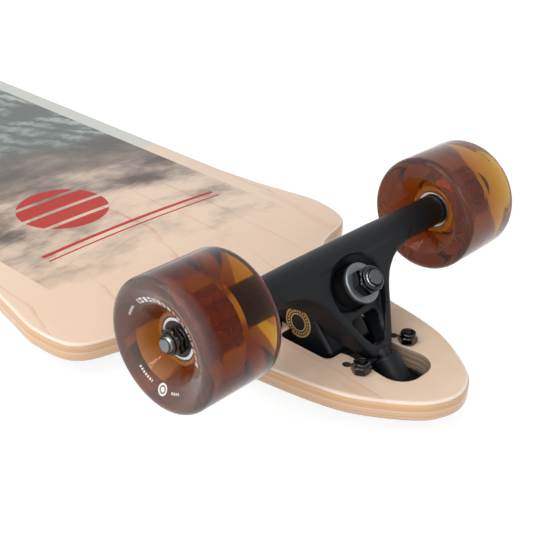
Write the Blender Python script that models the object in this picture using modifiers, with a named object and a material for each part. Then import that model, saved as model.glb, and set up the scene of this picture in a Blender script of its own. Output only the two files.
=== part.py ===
"""Drop-through longboard skateboard, lying upside down as on a bench.

Units are metres and +Z is up. The board rests on its mounting bolt heads, its underside
and wheels face up, and its length runs along X. The origin is on the floor below the
middle of the deck. Each truck is modelled in a frame of its own: its origin is midway
between the two outer mounting bolts, on the deck's underside, with +X towards the tip.
"""

from math import cos, pi, radians, sin, sqrt

import bmesh
import bpy
from mathutils import Matrix, Vector

CLEARANCE = 0.0003

# Deck
DECK_LENGTH = 1.020
DECK_THICKNESS = 0.012
DECK_EDGE_RADIUS = 0.0035
TIP_TO_OUTER_BOLTS = 0.049
PLATFORM_HALF_WIDTH = 0.1105
FLARE_HALF_WIDTH = 0.1216
PLATFORM_RISE = 0.009
CONCAVE_DEPTH = 0.004
RISE_START = 0.070
RISE_END = 0.172
OUTLINE_TOLERANCE = 0.0005
GRIP_THICKNESS = 0.0009
GRIP_INSET = 0.005

# Opening in the deck for each truck, measured from the outer bolts towards the middle
OPENING_TIP = 0.0245
OPENING_NECK_HALF = 0.0125
OPENING_WAIST_HALF = 0.0244
OPENING_WAIST_START = 0.0195
OPENING_WAIST_END = 0.0545
OPENING_INNER_END = 0.090
OPENING_LOBE_RADIUS = 0.004

# Mounting hardware
BOLT_SPACING_ACROSS = 0.04128
BOLT_SPACING_ALONG = 0.0635
SPARE_HOLE_OFFSET = 0.009525
BOLT_RADIUS = 0.0024
BOLT_HEAD_RADIUS = 0.0046
BOLT_HEAD_HEIGHT = 0.0028
BOLT_SOCKET_RADIUS = 0.0016
BOLT_SOCKET_DEPTH = 0.0016
BOLT_CROWN_INSET = 0.0012
BOLT_CROWN_HEIGHT = 0.0010
BOLT_STICK_OUT = 0.0067
LOCK_NUT_FLATS = 0.0095
LOCK_NUT_HEX_HEIGHT = 0.0040
LOCK_NUT_HEIGHT = 0.0063
LOCK_NUT_COLLAR_RADIUS = 0.0044

# Truck geometry: the steering axis rises from the outer bolts towards the middle
PIVOT_ANGLE = radians(50.0)
AXLE_ALONG_PIVOT = 0.0590
KINGPIN_ALONG_PIVOT = 0.0412

# Baseplate
FLANGE_THICKNESS = 0.0050
FLANGE_OUTER = 0.0165
FLANGE_INNER = -0.0780
FLANGE_HALF_WIDTH = 0.0285
FLANGE_CORNER_RADIUS = 0.011
BLOCK_HALF_WIDTH = 0.0175
BLOCK_FRONT = -0.0185
BLOCK_TOP = 0.0560
BLOCK_BACK = -0.0585
BLOCK_WAIST = -0.0535
BLOCK_TOP_DEPTH = 0.0110
BLOCK_SHOULDER = 0.0130
BLOCK_KNEE_HEIGHT = 0.0150
BLOCK_EDGE_ROUND = 0.0020
HUMP_HALF_WIDTH = 0.0118
HUMP_BACK = -0.0728
HUMP_FRONT_HEIGHT = 0.0215
HUMP_KNEE_HEIGHT = 0.0090
POCKET_HALF_WIDTH = 0.0088
POCKET_BACK = -0.0700
POCKET_BACK_HEIGHT = 0.0064
RIB_HALF_WIDTH = 0.0070
RIB_TOP = -0.0060
RIB_TIP = 0.0040
RIB_TOE = 0.0100
PIVOT_HOUSING_RADIUS = 0.0079
PIVOT_MOUTH = 0.0003

# Pivot cup and nose
CUP_DEPTH = 0.0095
CUP_FLOOR = 0.0018
CUP_RADIUS = 0.0060
NOSE_RADIUS = 0.0041
NOSE_RUNNING_GAP = 0.0004
NOSE_CHAMFER = 0.0010

# Bushings and kingpin, placed along the kingpin from the steering axis
RING_FRONT = -0.0030
RING_THICKNESS = 0.0060
RING_BORE_RADIUS = 0.0080
BUSHING_RADIUS = 0.0104
BUSHING_WAIST = 0.0008
ROAD_BUSHING_HEIGHT = 0.0118
BOARD_BUSHING_HEIGHT = 0.0140
WASHER_RIM = 0.0009
WASHER_THICKNESS = 0.0014
WASHER_LIP = 0.0016
WASHER_EDGE = 0.0010
KINGPIN_RADIUS = 0.00476
KINGPIN_END = 0.0210
KINGPIN_CHAMFER = 0.0007
KINGPIN_HEAD_FLATS = 0.0143
KINGPIN_HEAD_SEAT = -0.0420
KINGPIN_HEAD_HEIGHT = 0.0060
KINGPIN_NUT_FLATS = 0.0143
KINGPIN_NUT_HEX_HEIGHT = 0.0062
KINGPIN_NUT_HEIGHT = 0.0085
KINGPIN_NUT_COLLAR_RADIUS = 0.0070

# Hanger
HANGER_HALF_LENGTH = 0.0907
BARREL_END_RADIUS = 0.0093
BARREL_MIDDLE_RADIUS = 0.0098
BARREL_CHAMFER = 0.0008
BARREL_TAPER_START = 0.0320
BARREL_TAPER_END = 0.0600
WEB_FRONT_AT_NOSE = 0.0010
WEB_BACK_AT_KNEE = -0.0120
WEB_BACK_AT_NOSE = -0.0055
WEB_KNEE = 0.0220
WEB_NOSE = 0.0023
WEB_EDGE_ROUND = 0.0027
RECESS_SEAT_GAP = 0.0008
RECESS_HALF_WIDTH = 0.0205
RECESS_HALF_HEIGHT = 0.0150
RECESS_RISE = 0.0018
RECESS_MOUTH = 0.0080
RECESS_KNEE = 0.0030
RECESS_KNEE_HALF_WIDTH = 0.0198
RECESS_KNEE_HALF_HEIGHT = 0.0124
RECESS_FLOOR_HALF_WIDTH = 0.0188
RECESS_FLOOR_HALF_HEIGHT = 0.0114
SHELF_LEVEL = 0.0002
SHELF_BOTTOM = 0.0074
WINDOW_TOP = 0.0256
WINDOW_BOTTOM = 0.0082
WINDOW_HALF_WIDTH = 0.0124
WINDOW_BOTTOM_HALF_WIDTH = 0.0052
WINDOW_CORNER_RADIUS = 0.0030

# Axle, wheels and bearings
AXLE_RADIUS = 0.0040
AXLE_STICK_OUT = 0.0018
AXLE_CHAMFER = 0.0008
AXLE_NUT_FLATS = 0.0127
AXLE_NUT_HEX_HEIGHT = 0.0046
AXLE_NUT_HEIGHT = 0.0064
AXLE_NUT_COLLAR_RADIUS = 0.0055
WHEEL_RADIUS = 0.0346
WHEEL_WIDTH = 0.0490
WHEEL_EDGE_RADIUS = 0.0045
RECESS_MOUTH_INNER = 0.0240
RECESS_MOUTH_OUTER = 0.0205
OUTER_DISH_DEPTH = 0.0040
OUTER_DISH_RADIUS = 0.0290
CORE_RADIUS = 0.0172
CORE_FLANGE_HALF_WIDTH = 0.0070
CORE_HUB_RADIUS = 0.0132
CORE_HALF_WIDTH = 0.0121
BEARING_RADIUS = 0.0110
BEARING_WIDTH = 0.0070
BEARING_SPACING = 0.0100
CORE_SHOULDER_RADIUS = 0.0090

# How far cutters reach past what they cut, and how deep joined shapes sit in each other
FAR = 0.080
BEYOND = 0.010
INSIDE = 0.001
HUMP_OVERLAP = 0.004

# Facets
WHEEL_STEPS = 28
BARREL_STEPS = 32
RECESS_STEPS = 36
CORE_STEPS = 20
BEARING_STEPS = 18
PIN_STEPS = 14
HOLE_STEPS = 10

# Sizes that follow from the ones above
GRIP_BOTTOM = -DECK_THICKNESS - CLEARANCE - GRIP_THICKNESS
FLANGE_TOP = GRIP_BOTTOM - CLEARANCE
FLANGE_BOTTOM = FLANGE_TOP - FLANGE_THICKNESS
BOLT_HEAD_TOP = FLANGE_BOTTOM - CLEARANCE
DECK_FACE = BOLT_HEAD_HEIGHT - BOLT_HEAD_TOP
OUTER_BOLTS = DECK_LENGTH / 2 - TIP_TO_OUTER_BOLTS
BOLT_HOLE_RADIUS = BOLT_RADIUS + CLEARANCE
WHEEL_MIDDLE = HANGER_HALF_LENGTH + CLEARANCE + BEARING_WIDTH + BEARING_SPACING / 2
BEARING_OFFSET = BEARING_SPACING / 2 + BEARING_WIDTH / 2
AXLE_NUT_SEAT = WHEEL_MIDDLE + BEARING_SPACING / 2 + BEARING_WIDTH + CLEARANCE
AXLE_HALF_LENGTH = AXLE_NUT_SEAT + AXLE_NUT_HEIGHT + AXLE_STICK_OUT
RING_BACK = RING_FRONT - RING_THICKNESS
ROAD_BUSHING_BASE = RING_FRONT + CLEARANCE
ROAD_WASHER_BASE = ROAD_BUSHING_BASE + ROAD_BUSHING_HEIGHT + CLEARANCE
BOARD_BUSHING_BASE = RING_BACK - CLEARANCE - BOARD_BUSHING_HEIGHT
WASHER_BORE_RADIUS = KINGPIN_RADIUS + CLEARANCE
WASHER_RADIUS = BUSHING_RADIUS + CLEARANCE + WASHER_RIM
BOARD_WASHER_BASE = BOARD_BUSHING_BASE - CLEARANCE
BLOCK_SEAT = BOARD_WASHER_BASE - WASHER_THICKNESS - CLEARANCE
NUT_SEAT = ROAD_WASHER_BASE + WASHER_THICKNESS + CLEARANCE

ALONG_PIVOT = Vector((-cos(PIVOT_ANGLE), 0.0, sin(PIVOT_ANGLE)))
ALONG_KINGPIN = Vector((sin(PIVOT_ANGLE), 0.0, cos(PIVOT_ANGLE)))
ALONG_AXLE = Vector((0.0, 1.0, 0.0))


def clear_scene():
    """Remove every object, so that the model starts from nothing."""
    for obj in list(bpy.data.objects):
        bpy.data.objects.remove(obj, do_unlink=True)


def new_collection(name):
    """Make a collection and link it to the scene."""
    collection = bpy.data.collections.new(name)
    bpy.context.scene.collection.children.link(collection)
    return collection


def make_material(name, colour, roughness, metallic=0.0):
    """A Principled material with one colour."""
    material = bpy.data.materials.new(name)
    material.use_nodes = True
    shader = material.node_tree.nodes["Principled BSDF"]
    shader.inputs["Base Color"].default_value = (*colour, 1.0)
    shader.inputs["Roughness"].default_value = roughness
    shader.inputs["Metallic"].default_value = metallic
    return material


clear_scene()
BOARD = new_collection("longboard")
CUTTERS = new_collection("longboard_cutters")
MAPLE = make_material("maple_ply", (0.80, 0.60, 0.42), 0.35)
GRIT = make_material("grip_sheet", (0.02, 0.02, 0.02), 0.95)
PAINTED = make_material("black_cast_aluminium", (0.015, 0.016, 0.018), 0.45)
BLACK_STEEL = make_material("black_steel", (0.012, 0.012, 0.012), 0.25, 0.6)
BARE_STEEL = make_material("bare_steel", (0.45, 0.45, 0.47), 0.30, 1.0)
BUSHING_BLACK = make_material("black_bushing", (0.02, 0.02, 0.02), 0.55)
AMBER = make_material("amber_wheel", (0.28, 0.09, 0.02), 0.12)
CORE_AMBER = make_material("amber_core", (0.42, 0.14, 0.02), 0.25)


def truck_basis(origin, z_axis, x_axis):
    """Matrix with the given origin, whose Z and X run along two square directions."""
    y_axis = z_axis.cross(x_axis)
    rotation = Matrix((x_axis, y_axis, z_axis)).transposed()
    return Matrix.Translation(origin) @ rotation.to_4x4()


PIVOT_FRAME = truck_basis(Vector((0, 0, 0)), ALONG_PIVOT, ALONG_KINGPIN)
KINGPIN_FRAME = truck_basis(ALONG_PIVOT * KINGPIN_ALONG_PIVOT, ALONG_KINGPIN, ALONG_PIVOT)
AXLE_CENTRE = ALONG_PIVOT * AXLE_ALONG_PIVOT
BOLT_HALF = BOLT_SPACING_ACROSS / 2
BOLT_PLACES = [
    (0.0, -BOLT_HALF), (0.0, BOLT_HALF), (-BOLT_SPACING_ALONG, -BOLT_HALF),
    (-BOLT_SPACING_ALONG, BOLT_HALF)]
SPARE_PLACES = [(-SPARE_HOLE_OFFSET, -BOLT_HALF), (-SPARE_HOLE_OFFSET, BOLT_HALF)]


def axle_frame(across, side=1.0):
    """Frame on the axle whose Z runs outwards on that side, at a distance from the middle."""
    z_axis = ALONG_AXLE * side
    return truck_basis(AXLE_CENTRE + z_axis * across, z_axis, Vector((1, 0, 0)))


def link_mesh(name, bm, material, parent=None, frame=None, collection=None):
    """Turn a bmesh into a named object, placed by a frame under its parent."""
    mesh = bpy.data.meshes.new(name)
    bm.to_mesh(mesh)
    bm.free()
    obj = bpy.data.objects.new(name, mesh)
    (collection or BOARD).objects.link(obj)
    if material is not None:
        mesh.materials.append(material)
    obj.parent = parent
    if frame is not None:
        obj.matrix_local = frame
    return obj


def add_cutter(name, bm, parent=None, frame=None):
    """Link a shape that only cuts or joins others."""
    obj = link_mesh(name, bm, None, parent, frame, CUTTERS)
    obj.hide_render = True
    obj.display_type = "WIRE"
    return obj


def add_boolean(obj, cutter, operation="DIFFERENCE"):
    """Cut or join another object with an exact Boolean."""
    modifier = obj.modifiers.new(cutter.name[:50], "BOOLEAN")
    modifier.operation = operation
    modifier.solver = "EXACT"
    modifier.object = cutter


def shade_round(obj, angle=radians(35)):
    """Smooth shading with the sharp edges kept."""
    obj.data.shade_smooth()
    obj.data.set_sharp_from_angle(angle=angle)


def profile_mesh(points, closed):
    """Profile for a Screw modifier: points are (radius, height) pairs in the XZ plane."""
    bm = bmesh.new()
    verts = [bm.verts.new((radius, 0.0, height)) for radius, height in points]
    for first, second in zip(verts, verts[1:]):
        bm.edges.new((first, second))
    if closed:
        bm.edges.new((verts[-1], verts[0]))
    return bm


def add_screw(obj, steps):
    """Turn a profile once about the object's own Z axis."""
    modifier = obj.modifiers.new("turn", "SCREW")
    modifier.axis = "Z"
    modifier.steps = steps
    modifier.render_steps = steps
    modifier.use_merge_vertices = True
    modifier.merge_threshold = 0.00001
    modifier.use_smooth_shade = True


def turned(name, points, material, steps, closed=True, parent=None, frame=None):
    """A turned piece; its profile runs down the outer side and up the inner side."""
    obj = link_mesh(name, profile_mesh(points, closed), material, parent, frame)
    add_screw(obj, steps)
    return obj


def turned_cutter(name, points, steps, parent=None, frame=None):
    """A turned shape that only cuts or joins others."""
    obj = add_cutter(name, profile_mesh(points, False), parent, frame)
    add_screw(obj, steps)
    return obj


def rod_cutter(name, radius, low, high, steps, parent=None, frame=None):
    """A plain cylinder along Z between two heights."""
    bm = bmesh.new()
    place = Matrix.Translation((0, 0, (low + high) / 2))
    bmesh.ops.create_cone(
        bm, cap_ends=True, segments=steps, radius1=radius, radius2=radius,
        depth=high - low, matrix=place)
    return add_cutter(name, bm, parent, frame)


def rounded(points, radius, steps=4):
    """Round the corners of a closed outline; radius is one value or one for each corner."""
    radii = radius if isinstance(radius, (list, tuple)) else [radius] * len(points)
    outline = []
    for index, point in enumerate(points):
        corner = Vector(point)
        before = (Vector(points[index - 1]) - corner).normalized()
        after = (Vector(points[(index + 1) % len(points)]) - corner).normalized()
        half = before.angle(after) / 2
        if radii[index] <= 0 or abs(half - pi / 2) < 0.02:
            outline.append(corner)
            continue
        reach = radii[index] / (sin(half) / cos(half))
        centre = corner + (before + after).normalized() * (radii[index] / sin(half))
        start = corner + before * reach - centre
        turn = start.angle_signed(corner + after * reach - centre)
        for step in range(steps + 1):
            spin = Matrix.Rotation(-turn * step / steps, 2)
            outline.append(centre + spin @ start)
    return outline


def flat_point(a, b, depth):
    """Place for an outline that lies flat, seen from above."""
    return Vector((a, b, depth))


def side_point(a, b, depth):
    """Place for an outline in the XZ plane, seen from the side."""
    return Vector((a, depth, b))


def web_point(a, b, depth):
    """Place for an outline across the board and along the pivot, in the steering frame."""
    return Vector((depth, a, b))


def prism(outline, low, high, to_point):
    """Close an outline between two depths; to_point turns (a, b, depth) into a place."""
    bm = bmesh.new()
    verts = [bm.verts.new(to_point(a, b, low)) for a, b in outline]
    base = bm.faces.new(verts)
    grown = bmesh.ops.extrude_face_region(bm, geom=[base])
    moved = [item for item in grown["geom"] if isinstance(item, bmesh.types.BMVert)]
    shift = to_point(0, 0, high) - to_point(0, 0, low)
    bmesh.ops.translate(bm, verts=moved, vec=shift)
    bmesh.ops.recalc_face_normals(bm, faces=bm.faces)
    return bm


def smooth_line(points, per_span):
    """Points on a smooth curve through the given ones, by Catmull and Rom's rule."""
    ends = [points[0] * 2 - points[1]] + points + [points[-1] * 2 - points[-2]]
    line = []
    for index in range(1, len(ends) - 2):
        before, start, end, after = ends[index - 1:index + 3]
        for step in range(per_span):
            t = step / per_span
            line.append(0.5 * (
                start * 2 + (end - before) * t
                + (before * 2 - start * 5 + end * 4 - after) * t ** 2
                + (start * 3 - before - end * 3 + after) * t ** 3))
    line.append(points[-1].copy())
    return line


def thinned(line, tolerance):
    """Leave out the points of a line that lie within a distance of its chords."""
    chord = line[-1] - line[0]
    if len(line) < 3 or chord.length == 0:
        return [line[0], line[-1]]
    offsets = [chord.cross(point - line[0]).length / chord.length for point in line]
    worst = max(offsets)
    if worst <= tolerance:
        return [line[0], line[-1]]
    middle = offsets.index(worst)
    return thinned(line[:middle + 1], tolerance)[:-1] + thinned(line[middle:], tolerance)


def half_outline():
    """Half the deck's outline from its tip to its middle: X, half width and middle height."""
    tip = DECK_LENGTH / 2
    bolts = OUTER_BOLTS
    flare = FLARE_HALF_WIDTH
    waist = PLATFORM_HALF_WIDTH
    points = [
        (tip, 0.0), (tip - 0.0024, 0.0106), (tip - 0.0086, 0.0206),
        (bolts + 0.0265, 0.0320), (bolts + 0.0085, 0.0425), (bolts - 0.0120, 0.0486),
        (bolts - 0.0400, 0.0535), (bolts - RISE_START, 0.0578), (bolts - 0.0940, 0.0650),
        (bolts - 0.1035, 0.0715), (bolts - 0.1098, 0.0800), (bolts - 0.1138, 0.0910),
        (bolts - 0.1161, 0.1015), (bolts - 0.1193, 0.1096), (bolts - 0.1252, 0.1162),
        (bolts - 0.1340, flare - 0.0018), (bolts - 0.1450, flare - 0.0001),
        (bolts - 0.1570, flare), (bolts - 0.1800, waist + 0.0070),
        (bolts - 0.2020, waist + 0.0034), (bolts - 0.2270, waist + 0.0011),
        (bolts - 0.2600, waist), (0.0, waist)]
    line = smooth_line([Vector(point) for point in points], 6)
    line = [Vector((point.x, point.y, deck_height(point.x, 0))) for point in line]
    flat = sum(1 for point in line if bolts - point.x < RISE_START + 0.00001)
    return thinned(line[:flat], OUTLINE_TOLERANCE)[:-1] + thinned(line[flat - 1:], OUTLINE_TOLERANCE)


def deck_height(x, across):
    """Height of the deck's underside above its mounting face; across runs from -1 to 1."""
    inboard = OUTER_BOLTS - abs(x)
    share = min(max((inboard - RISE_START) / (RISE_END - RISE_START), 0.0), 1.0)
    ease = share * share * (3 - 2 * share)
    return ease * (PLATFORM_RISE - CONCAVE_DEPTH * across * across)


def deck_surface(inset, lift, rows=4):
    """Open sheet that follows the deck's underside, inset from its outline."""
    half = half_outline()
    stations = half + [Vector((-point.x, point.y)) for point in reversed(half[:-1])]
    bm = bmesh.new()
    bmesh.ops.create_grid(bm, x_segments=len(stations) - 1, y_segments=rows, size=1.0)
    length = DECK_LENGTH / 2
    for vert in bm.verts:
        index = round((vert.co.x + 1) / 2 * (len(stations) - 1))
        station = stations[len(stations) - 1 - index]
        across = sin(vert.co.y * pi / 2)
        width = max(station.y - inset, 0.0)
        x = station.x * (length - inset) / length
        if station.y < 0.001:
            width = 0.0
        vert.co = (x, width * across, DECK_FACE + lift + deck_height(x, across))
    bmesh.ops.remove_doubles(bm, verts=bm.verts, dist=0.00001)
    bmesh.ops.recalc_face_normals(bm, faces=bm.faces)
    if sum(face.normal.z for face in bm.faces) < 0:
        bmesh.ops.reverse_faces(bm, faces=bm.faces)
    return bm


def add_solidify(obj, thickness):
    """Give an open sheet its thickness, below its own surface."""
    modifier = obj.modifiers.new("thickness", "SOLIDIFY")
    modifier.thickness = thickness
    modifier.offset = -1.0
    modifier.use_even_offset = True


def add_bevel(obj, width, segments, angle):
    """Round every edge sharper than the angle."""
    modifier = obj.modifiers.new("rounding", "BEVEL")
    modifier.width = width
    modifier.segments = segments
    modifier.limit_method = "ANGLE"
    modifier.angle_limit = angle


def opening_outline():
    """Outline of the opening under a truck, wide at the waist and narrow at the bolts."""
    neck = OPENING_NECK_HALF
    waist = OPENING_WAIST_HALF
    tip = OPENING_TIP
    start = -OPENING_WAIST_START
    end = -OPENING_WAIST_END
    inner = -OPENING_INNER_END
    lobe = OPENING_LOBE_RADIUS
    right = [
        (tip, neck + 0.0042, 0.0120), (start + 0.0050, neck, 0.0),
        (start, neck + 0.0012, lobe / 2), (start, waist, lobe), (end, waist, lobe),
        (end, neck + 0.0012, lobe / 2), (end - 0.0050, neck, 0.0), (inner, neck, 0.0100)]
    left = [(x, -y, radius) for x, y, radius in reversed(right)]
    corners = [(x, y) for x, y, _ in right + left]
    return rounded(corners, [radius for _, _, radius in right + left], 3)


def cut_bolt_holes(obj, truck, label, places, low, high):
    """Drill holes at the given places in a truck's frame."""
    for index, (x, y) in enumerate(places):
        frame = Matrix.Translation((x, y, 0))
        name = f"{label}_hole_{index}"
        hole = rod_cutter(name, BOLT_HOLE_RADIUS, low, high, HOLE_STEPS, truck, frame)
        add_boolean(obj, hole)


def cut_truck_opening(obj, truck, label, places):
    """Cut the truck opening and some bolt holes through a sheet."""
    bm = prism(opening_outline(), -FAR, FAR, flat_point)
    add_boolean(obj, add_cutter(label + "_opening", bm, truck))
    cut_bolt_holes(obj, truck, label, places, -FAR, FAR)


def build_deck(trucks):
    """Pressed maple deck with its grip sheet."""
    deck = link_mesh("deck", deck_surface(0.0, 0.0), MAPLE)
    add_solidify(deck, DECK_THICKNESS)
    add_bevel(deck, DECK_EDGE_RADIUS, 2, radians(50))
    drop = -DECK_THICKNESS - CLEARANCE
    grip = link_mesh("grip_sheet", deck_surface(GRIP_INSET, drop), GRIT)
    add_solidify(grip, GRIP_THICKNESS)
    for label, truck in trucks.items():
        cut_truck_opening(deck, truck, "deck_" + label, BOLT_PLACES + SPARE_PLACES)
        cut_truck_opening(grip, truck, "grip_" + label, BOLT_PLACES)
    shade_round(deck)


def slanted(u, v):
    """Place in the truck's XZ plane, from distances along the kingpin and the pivot."""
    place = ALONG_KINGPIN * u + ALONG_PIVOT * v
    return (place.x, place.z)


def block_sides():
    """Side outlines of the kingpin block, the hump behind it and the pocket inside."""
    inside = FLANGE_TOP - INSIDE
    front_low = slanted(BLOCK_FRONT, BLOCK_SHOULDER)
    top_front = slanted(BLOCK_FRONT, BLOCK_TOP)
    top_back = slanted(BLOCK_FRONT - BLOCK_TOP_DEPTH, BLOCK_TOP)
    block = rounded(
        [(front_low[0], inside), front_low, top_front, top_back, (BLOCK_BACK, BLOCK_KNEE_HEIGHT),
         (BLOCK_BACK, CLEARANCE * 3), (BLOCK_WAIST, CLEARANCE * 3), (BLOCK_WAIST, inside)],
        [0, 0.003, 0.002, 0.006, 0.004, 0, 0, 0], 3)
    seat_low = slanted(KINGPIN_HEAD_SEAT, KINGPIN_ALONG_PIVOT - POCKET_HALF_WIDTH)
    seat_high = slanted(KINGPIN_HEAD_SEAT, KINGPIN_ALONG_PIVOT + POCKET_HALF_WIDTH)
    hump = rounded(
        [(BLOCK_WAIST + HUMP_OVERLAP, inside), (BLOCK_WAIST + HUMP_OVERLAP, HUMP_FRONT_HEIGHT),
         (BLOCK_BACK, HUMP_FRONT_HEIGHT), (seat_high[0] - 0.0022, seat_high[1] + 0.0040),
         (HUMP_BACK, HUMP_KNEE_HEIGHT), (HUMP_BACK, inside)],
        [0, 0, 0.002, 0.003, 0.003, 0], 2)
    below = FLANGE_BOTTOM - BEYOND
    pocket = [
        (seat_low[0], below), seat_low, seat_high, (POCKET_BACK, POCKET_BACK_HEIGHT),
        (POCKET_BACK, below)]
    return block, hump, pocket


def build_baseplate(label, truck):
    """Cast baseplate: flange under the deck, kingpin block and pivot housing."""
    half = FLANGE_HALF_WIDTH
    corners = [
        (FLANGE_OUTER, -half), (FLANGE_OUTER, half), (FLANGE_INNER, half), (FLANGE_INNER, -half)]
    flange = prism(
        rounded(corners, FLANGE_CORNER_RADIUS, 4), FLANGE_BOTTOM, FLANGE_TOP, flat_point)
    plate = link_mesh("baseplate_" + label, flange, PAINTED, truck)
    block_side, hump_side, pocket_side = block_sides()
    block = prism(block_side, -BLOCK_HALF_WIDTH, BLOCK_HALF_WIDTH, side_point)
    block = add_cutter(label + "_block", block, truck)
    add_bevel(block, BLOCK_EDGE_ROUND, 1, radians(70))
    add_boolean(plate, block, "UNION")
    hump = prism(hump_side, -HUMP_HALF_WIDTH, HUMP_HALF_WIDTH, side_point)
    add_boolean(plate, add_cutter(label + "_hump", hump, truck), "UNION")
    rib_start = BLOCK_FRONT - BEYOND
    rib_side = [
        (rib_start, FLANGE_TOP - INSIDE), (rib_start, RIB_TOP), (RIB_TIP, RIB_TOP),
        (RIB_TOE, FLANGE_TOP - INSIDE)]
    rib = prism(rib_side, -RIB_HALF_WIDTH, RIB_HALF_WIDTH, side_point)
    add_boolean(plate, add_cutter(label + "_rib", rib, truck), "UNION")
    housing_low = (FLANGE_BOTTOM - PIVOT_HOUSING_RADIUS) / ALONG_PIVOT.z
    housing = rod_cutter(
        label + "_housing", PIVOT_HOUSING_RADIUS, housing_low, PIVOT_MOUTH, 20, truck, PIVOT_FRAME)
    add_boolean(plate, housing, "UNION")
    beyond = prism(
        [(FLANGE_OUTER, BEYOND), (FAR, BEYOND), (FAR, -FAR), (-FAR, -FAR),
         (-FAR, FLANGE_BOTTOM), (FLANGE_OUTER, FLANGE_BOTTOM)], -FAR, FAR, side_point)
    add_boolean(plate, add_cutter(label + "_beyond", beyond, truck))
    pocket = prism(pocket_side, -POCKET_HALF_WIDTH, POCKET_HALF_WIDTH, side_point)
    add_boolean(plate, add_cutter(label + "_pocket", pocket, truck))
    cup_floor = PIVOT_MOUTH - CUP_DEPTH - CLEARANCE
    bores = [
        ("cup_bore", CUP_RADIUS + CLEARANCE, cup_floor, BEYOND, BEARING_STEPS, PIVOT_FRAME),
        ("washer_seat", WASHER_RADIUS + CLEARANCE * 3, BLOCK_SEAT, BEYOND, CORE_STEPS,
         KINGPIN_FRAME),
        ("kingpin_bore", KINGPIN_RADIUS + CLEARANCE, KINGPIN_HEAD_SEAT - BEYOND, 0.0, PIN_STEPS,
         KINGPIN_FRAME)]
    for name, radius, low, high, steps, frame in bores:
        bore = rod_cutter(f"{label}_{name}", radius, low, high, steps, truck, frame)
        add_boolean(plate, bore)
    cut_bolt_holes(
        plate, truck, label + "_plate", BOLT_PLACES + SPARE_PLACES, FLANGE_BOTTOM - BEYOND,
        FLANGE_TOP + INSIDE)


def build_pivot_cup(label, truck):
    """Soft cup in the pivot housing, open towards the hanger's nose."""
    bore = NOSE_RADIUS + NOSE_RUNNING_GAP
    floor = PIVOT_MOUTH - CUP_DEPTH
    points = [
        (0.0, floor + CUP_FLOOR), (bore, floor + CUP_FLOOR), (bore, PIVOT_MOUTH),
        (CUP_RADIUS, PIVOT_MOUTH), (CUP_RADIUS, floor), (0.0, floor)]
    turned(
        "pivot_cup_" + label, points, BUSHING_BLACK, BEARING_STEPS, False, truck, PIVOT_FRAME)


def hexagon(flats, low, high):
    """Six-sided bar along Z between two heights."""
    bm = bmesh.new()
    corner = flats / sqrt(3)
    place = Matrix.Translation((0, 0, (low + high) / 2))
    bmesh.ops.create_cone(
        bm, cap_ends=True, segments=6, radius1=corner, radius2=corner, depth=high - low,
        matrix=place)
    return bm


def build_nut(name, sizes, material, bore_radius, parent, frame):
    """Lock nut with a hexagon, a collar and a bore; sizes are named above."""
    flats, hex_height, height, collar_radius = sizes
    nut = link_mesh(name, hexagon(flats, 0.0, hex_height), material, parent, frame)
    collar = rod_cutter(
        name + "_collar", collar_radius, hex_height / 2, height, PIN_STEPS, parent, frame)
    add_boolean(nut, collar, "UNION")
    bore = rod_cutter(
        name + "_bore", bore_radius, -BEYOND, height + BEYOND, HOLE_STEPS, parent, frame)
    add_boolean(nut, bore)


def bushing_profile(base, height):
    """Barrel bushing with a slight waist between its two faces."""
    waist = BUSHING_RADIUS - BUSHING_WAIST
    return [
        (WASHER_BORE_RADIUS, base + height), (BUSHING_RADIUS, base + height),
        (waist, base + height / 2), (BUSHING_RADIUS, base), (WASHER_BORE_RADIUS, base)]


def washer_profile(base, direction):
    """Cupped washer on a bushing; its rim reaches back over the bushing's shoulder."""
    top = base + WASHER_THICKNESS * direction
    lip = base - WASHER_LIP * direction
    inner = WASHER_RADIUS - WASHER_RIM
    points = [
        (WASHER_BORE_RADIUS, top), (WASHER_RADIUS - WASHER_EDGE, top), (WASHER_RADIUS, base),
        (WASHER_RADIUS, lip), (inner, lip), (inner, base), (WASHER_BORE_RADIUS, base)]
    return points if direction > 0 else points[::-1]


def build_kingpin(label, truck):
    """Kingpin with its nut, two cupped washers and two bushings."""
    head_base = KINGPIN_HEAD_SEAT - CLEARANCE - KINGPIN_HEAD_HEIGHT
    head = hexagon(KINGPIN_HEAD_FLATS, head_base, head_base + KINGPIN_HEAD_HEIGHT)
    kingpin = link_mesh("kingpin_" + label, head, BLACK_STEEL, truck, KINGPIN_FRAME)
    shaft = turned_cutter(
        label + "_kingpin_shaft",
        [(0.0, KINGPIN_END), (KINGPIN_RADIUS - KINGPIN_CHAMFER, KINGPIN_END),
         (KINGPIN_RADIUS, KINGPIN_END - KINGPIN_CHAMFER), (KINGPIN_RADIUS, head_base + INSIDE),
         (0.0, head_base + INSIDE)],
        PIN_STEPS, truck, KINGPIN_FRAME)
    add_boolean(kingpin, shaft, "UNION")
    nut_sizes = (
        KINGPIN_NUT_FLATS, KINGPIN_NUT_HEX_HEIGHT, KINGPIN_NUT_HEIGHT, KINGPIN_NUT_COLLAR_RADIUS)
    nut_frame = KINGPIN_FRAME @ Matrix.Translation((0, 0, NUT_SEAT))
    build_nut(
        "kingpin_nut_" + label, nut_sizes, BLACK_STEEL, WASHER_BORE_RADIUS, truck, nut_frame)
    pieces = [
        ("road_bushing_", bushing_profile(ROAD_BUSHING_BASE, ROAD_BUSHING_HEIGHT), BUSHING_BLACK),
        ("board_bushing_", bushing_profile(BOARD_BUSHING_BASE, BOARD_BUSHING_HEIGHT),
         BUSHING_BLACK),
        ("road_washer_", washer_profile(ROAD_WASHER_BASE, 1), BLACK_STEEL),
        ("board_washer_", washer_profile(BOARD_WASHER_BASE, -1), BLACK_STEEL)]
    for name, profile, material in pieces:
        turned(name + label, profile, material, CORE_STEPS, True, truck, KINGPIN_FRAME)


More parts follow.
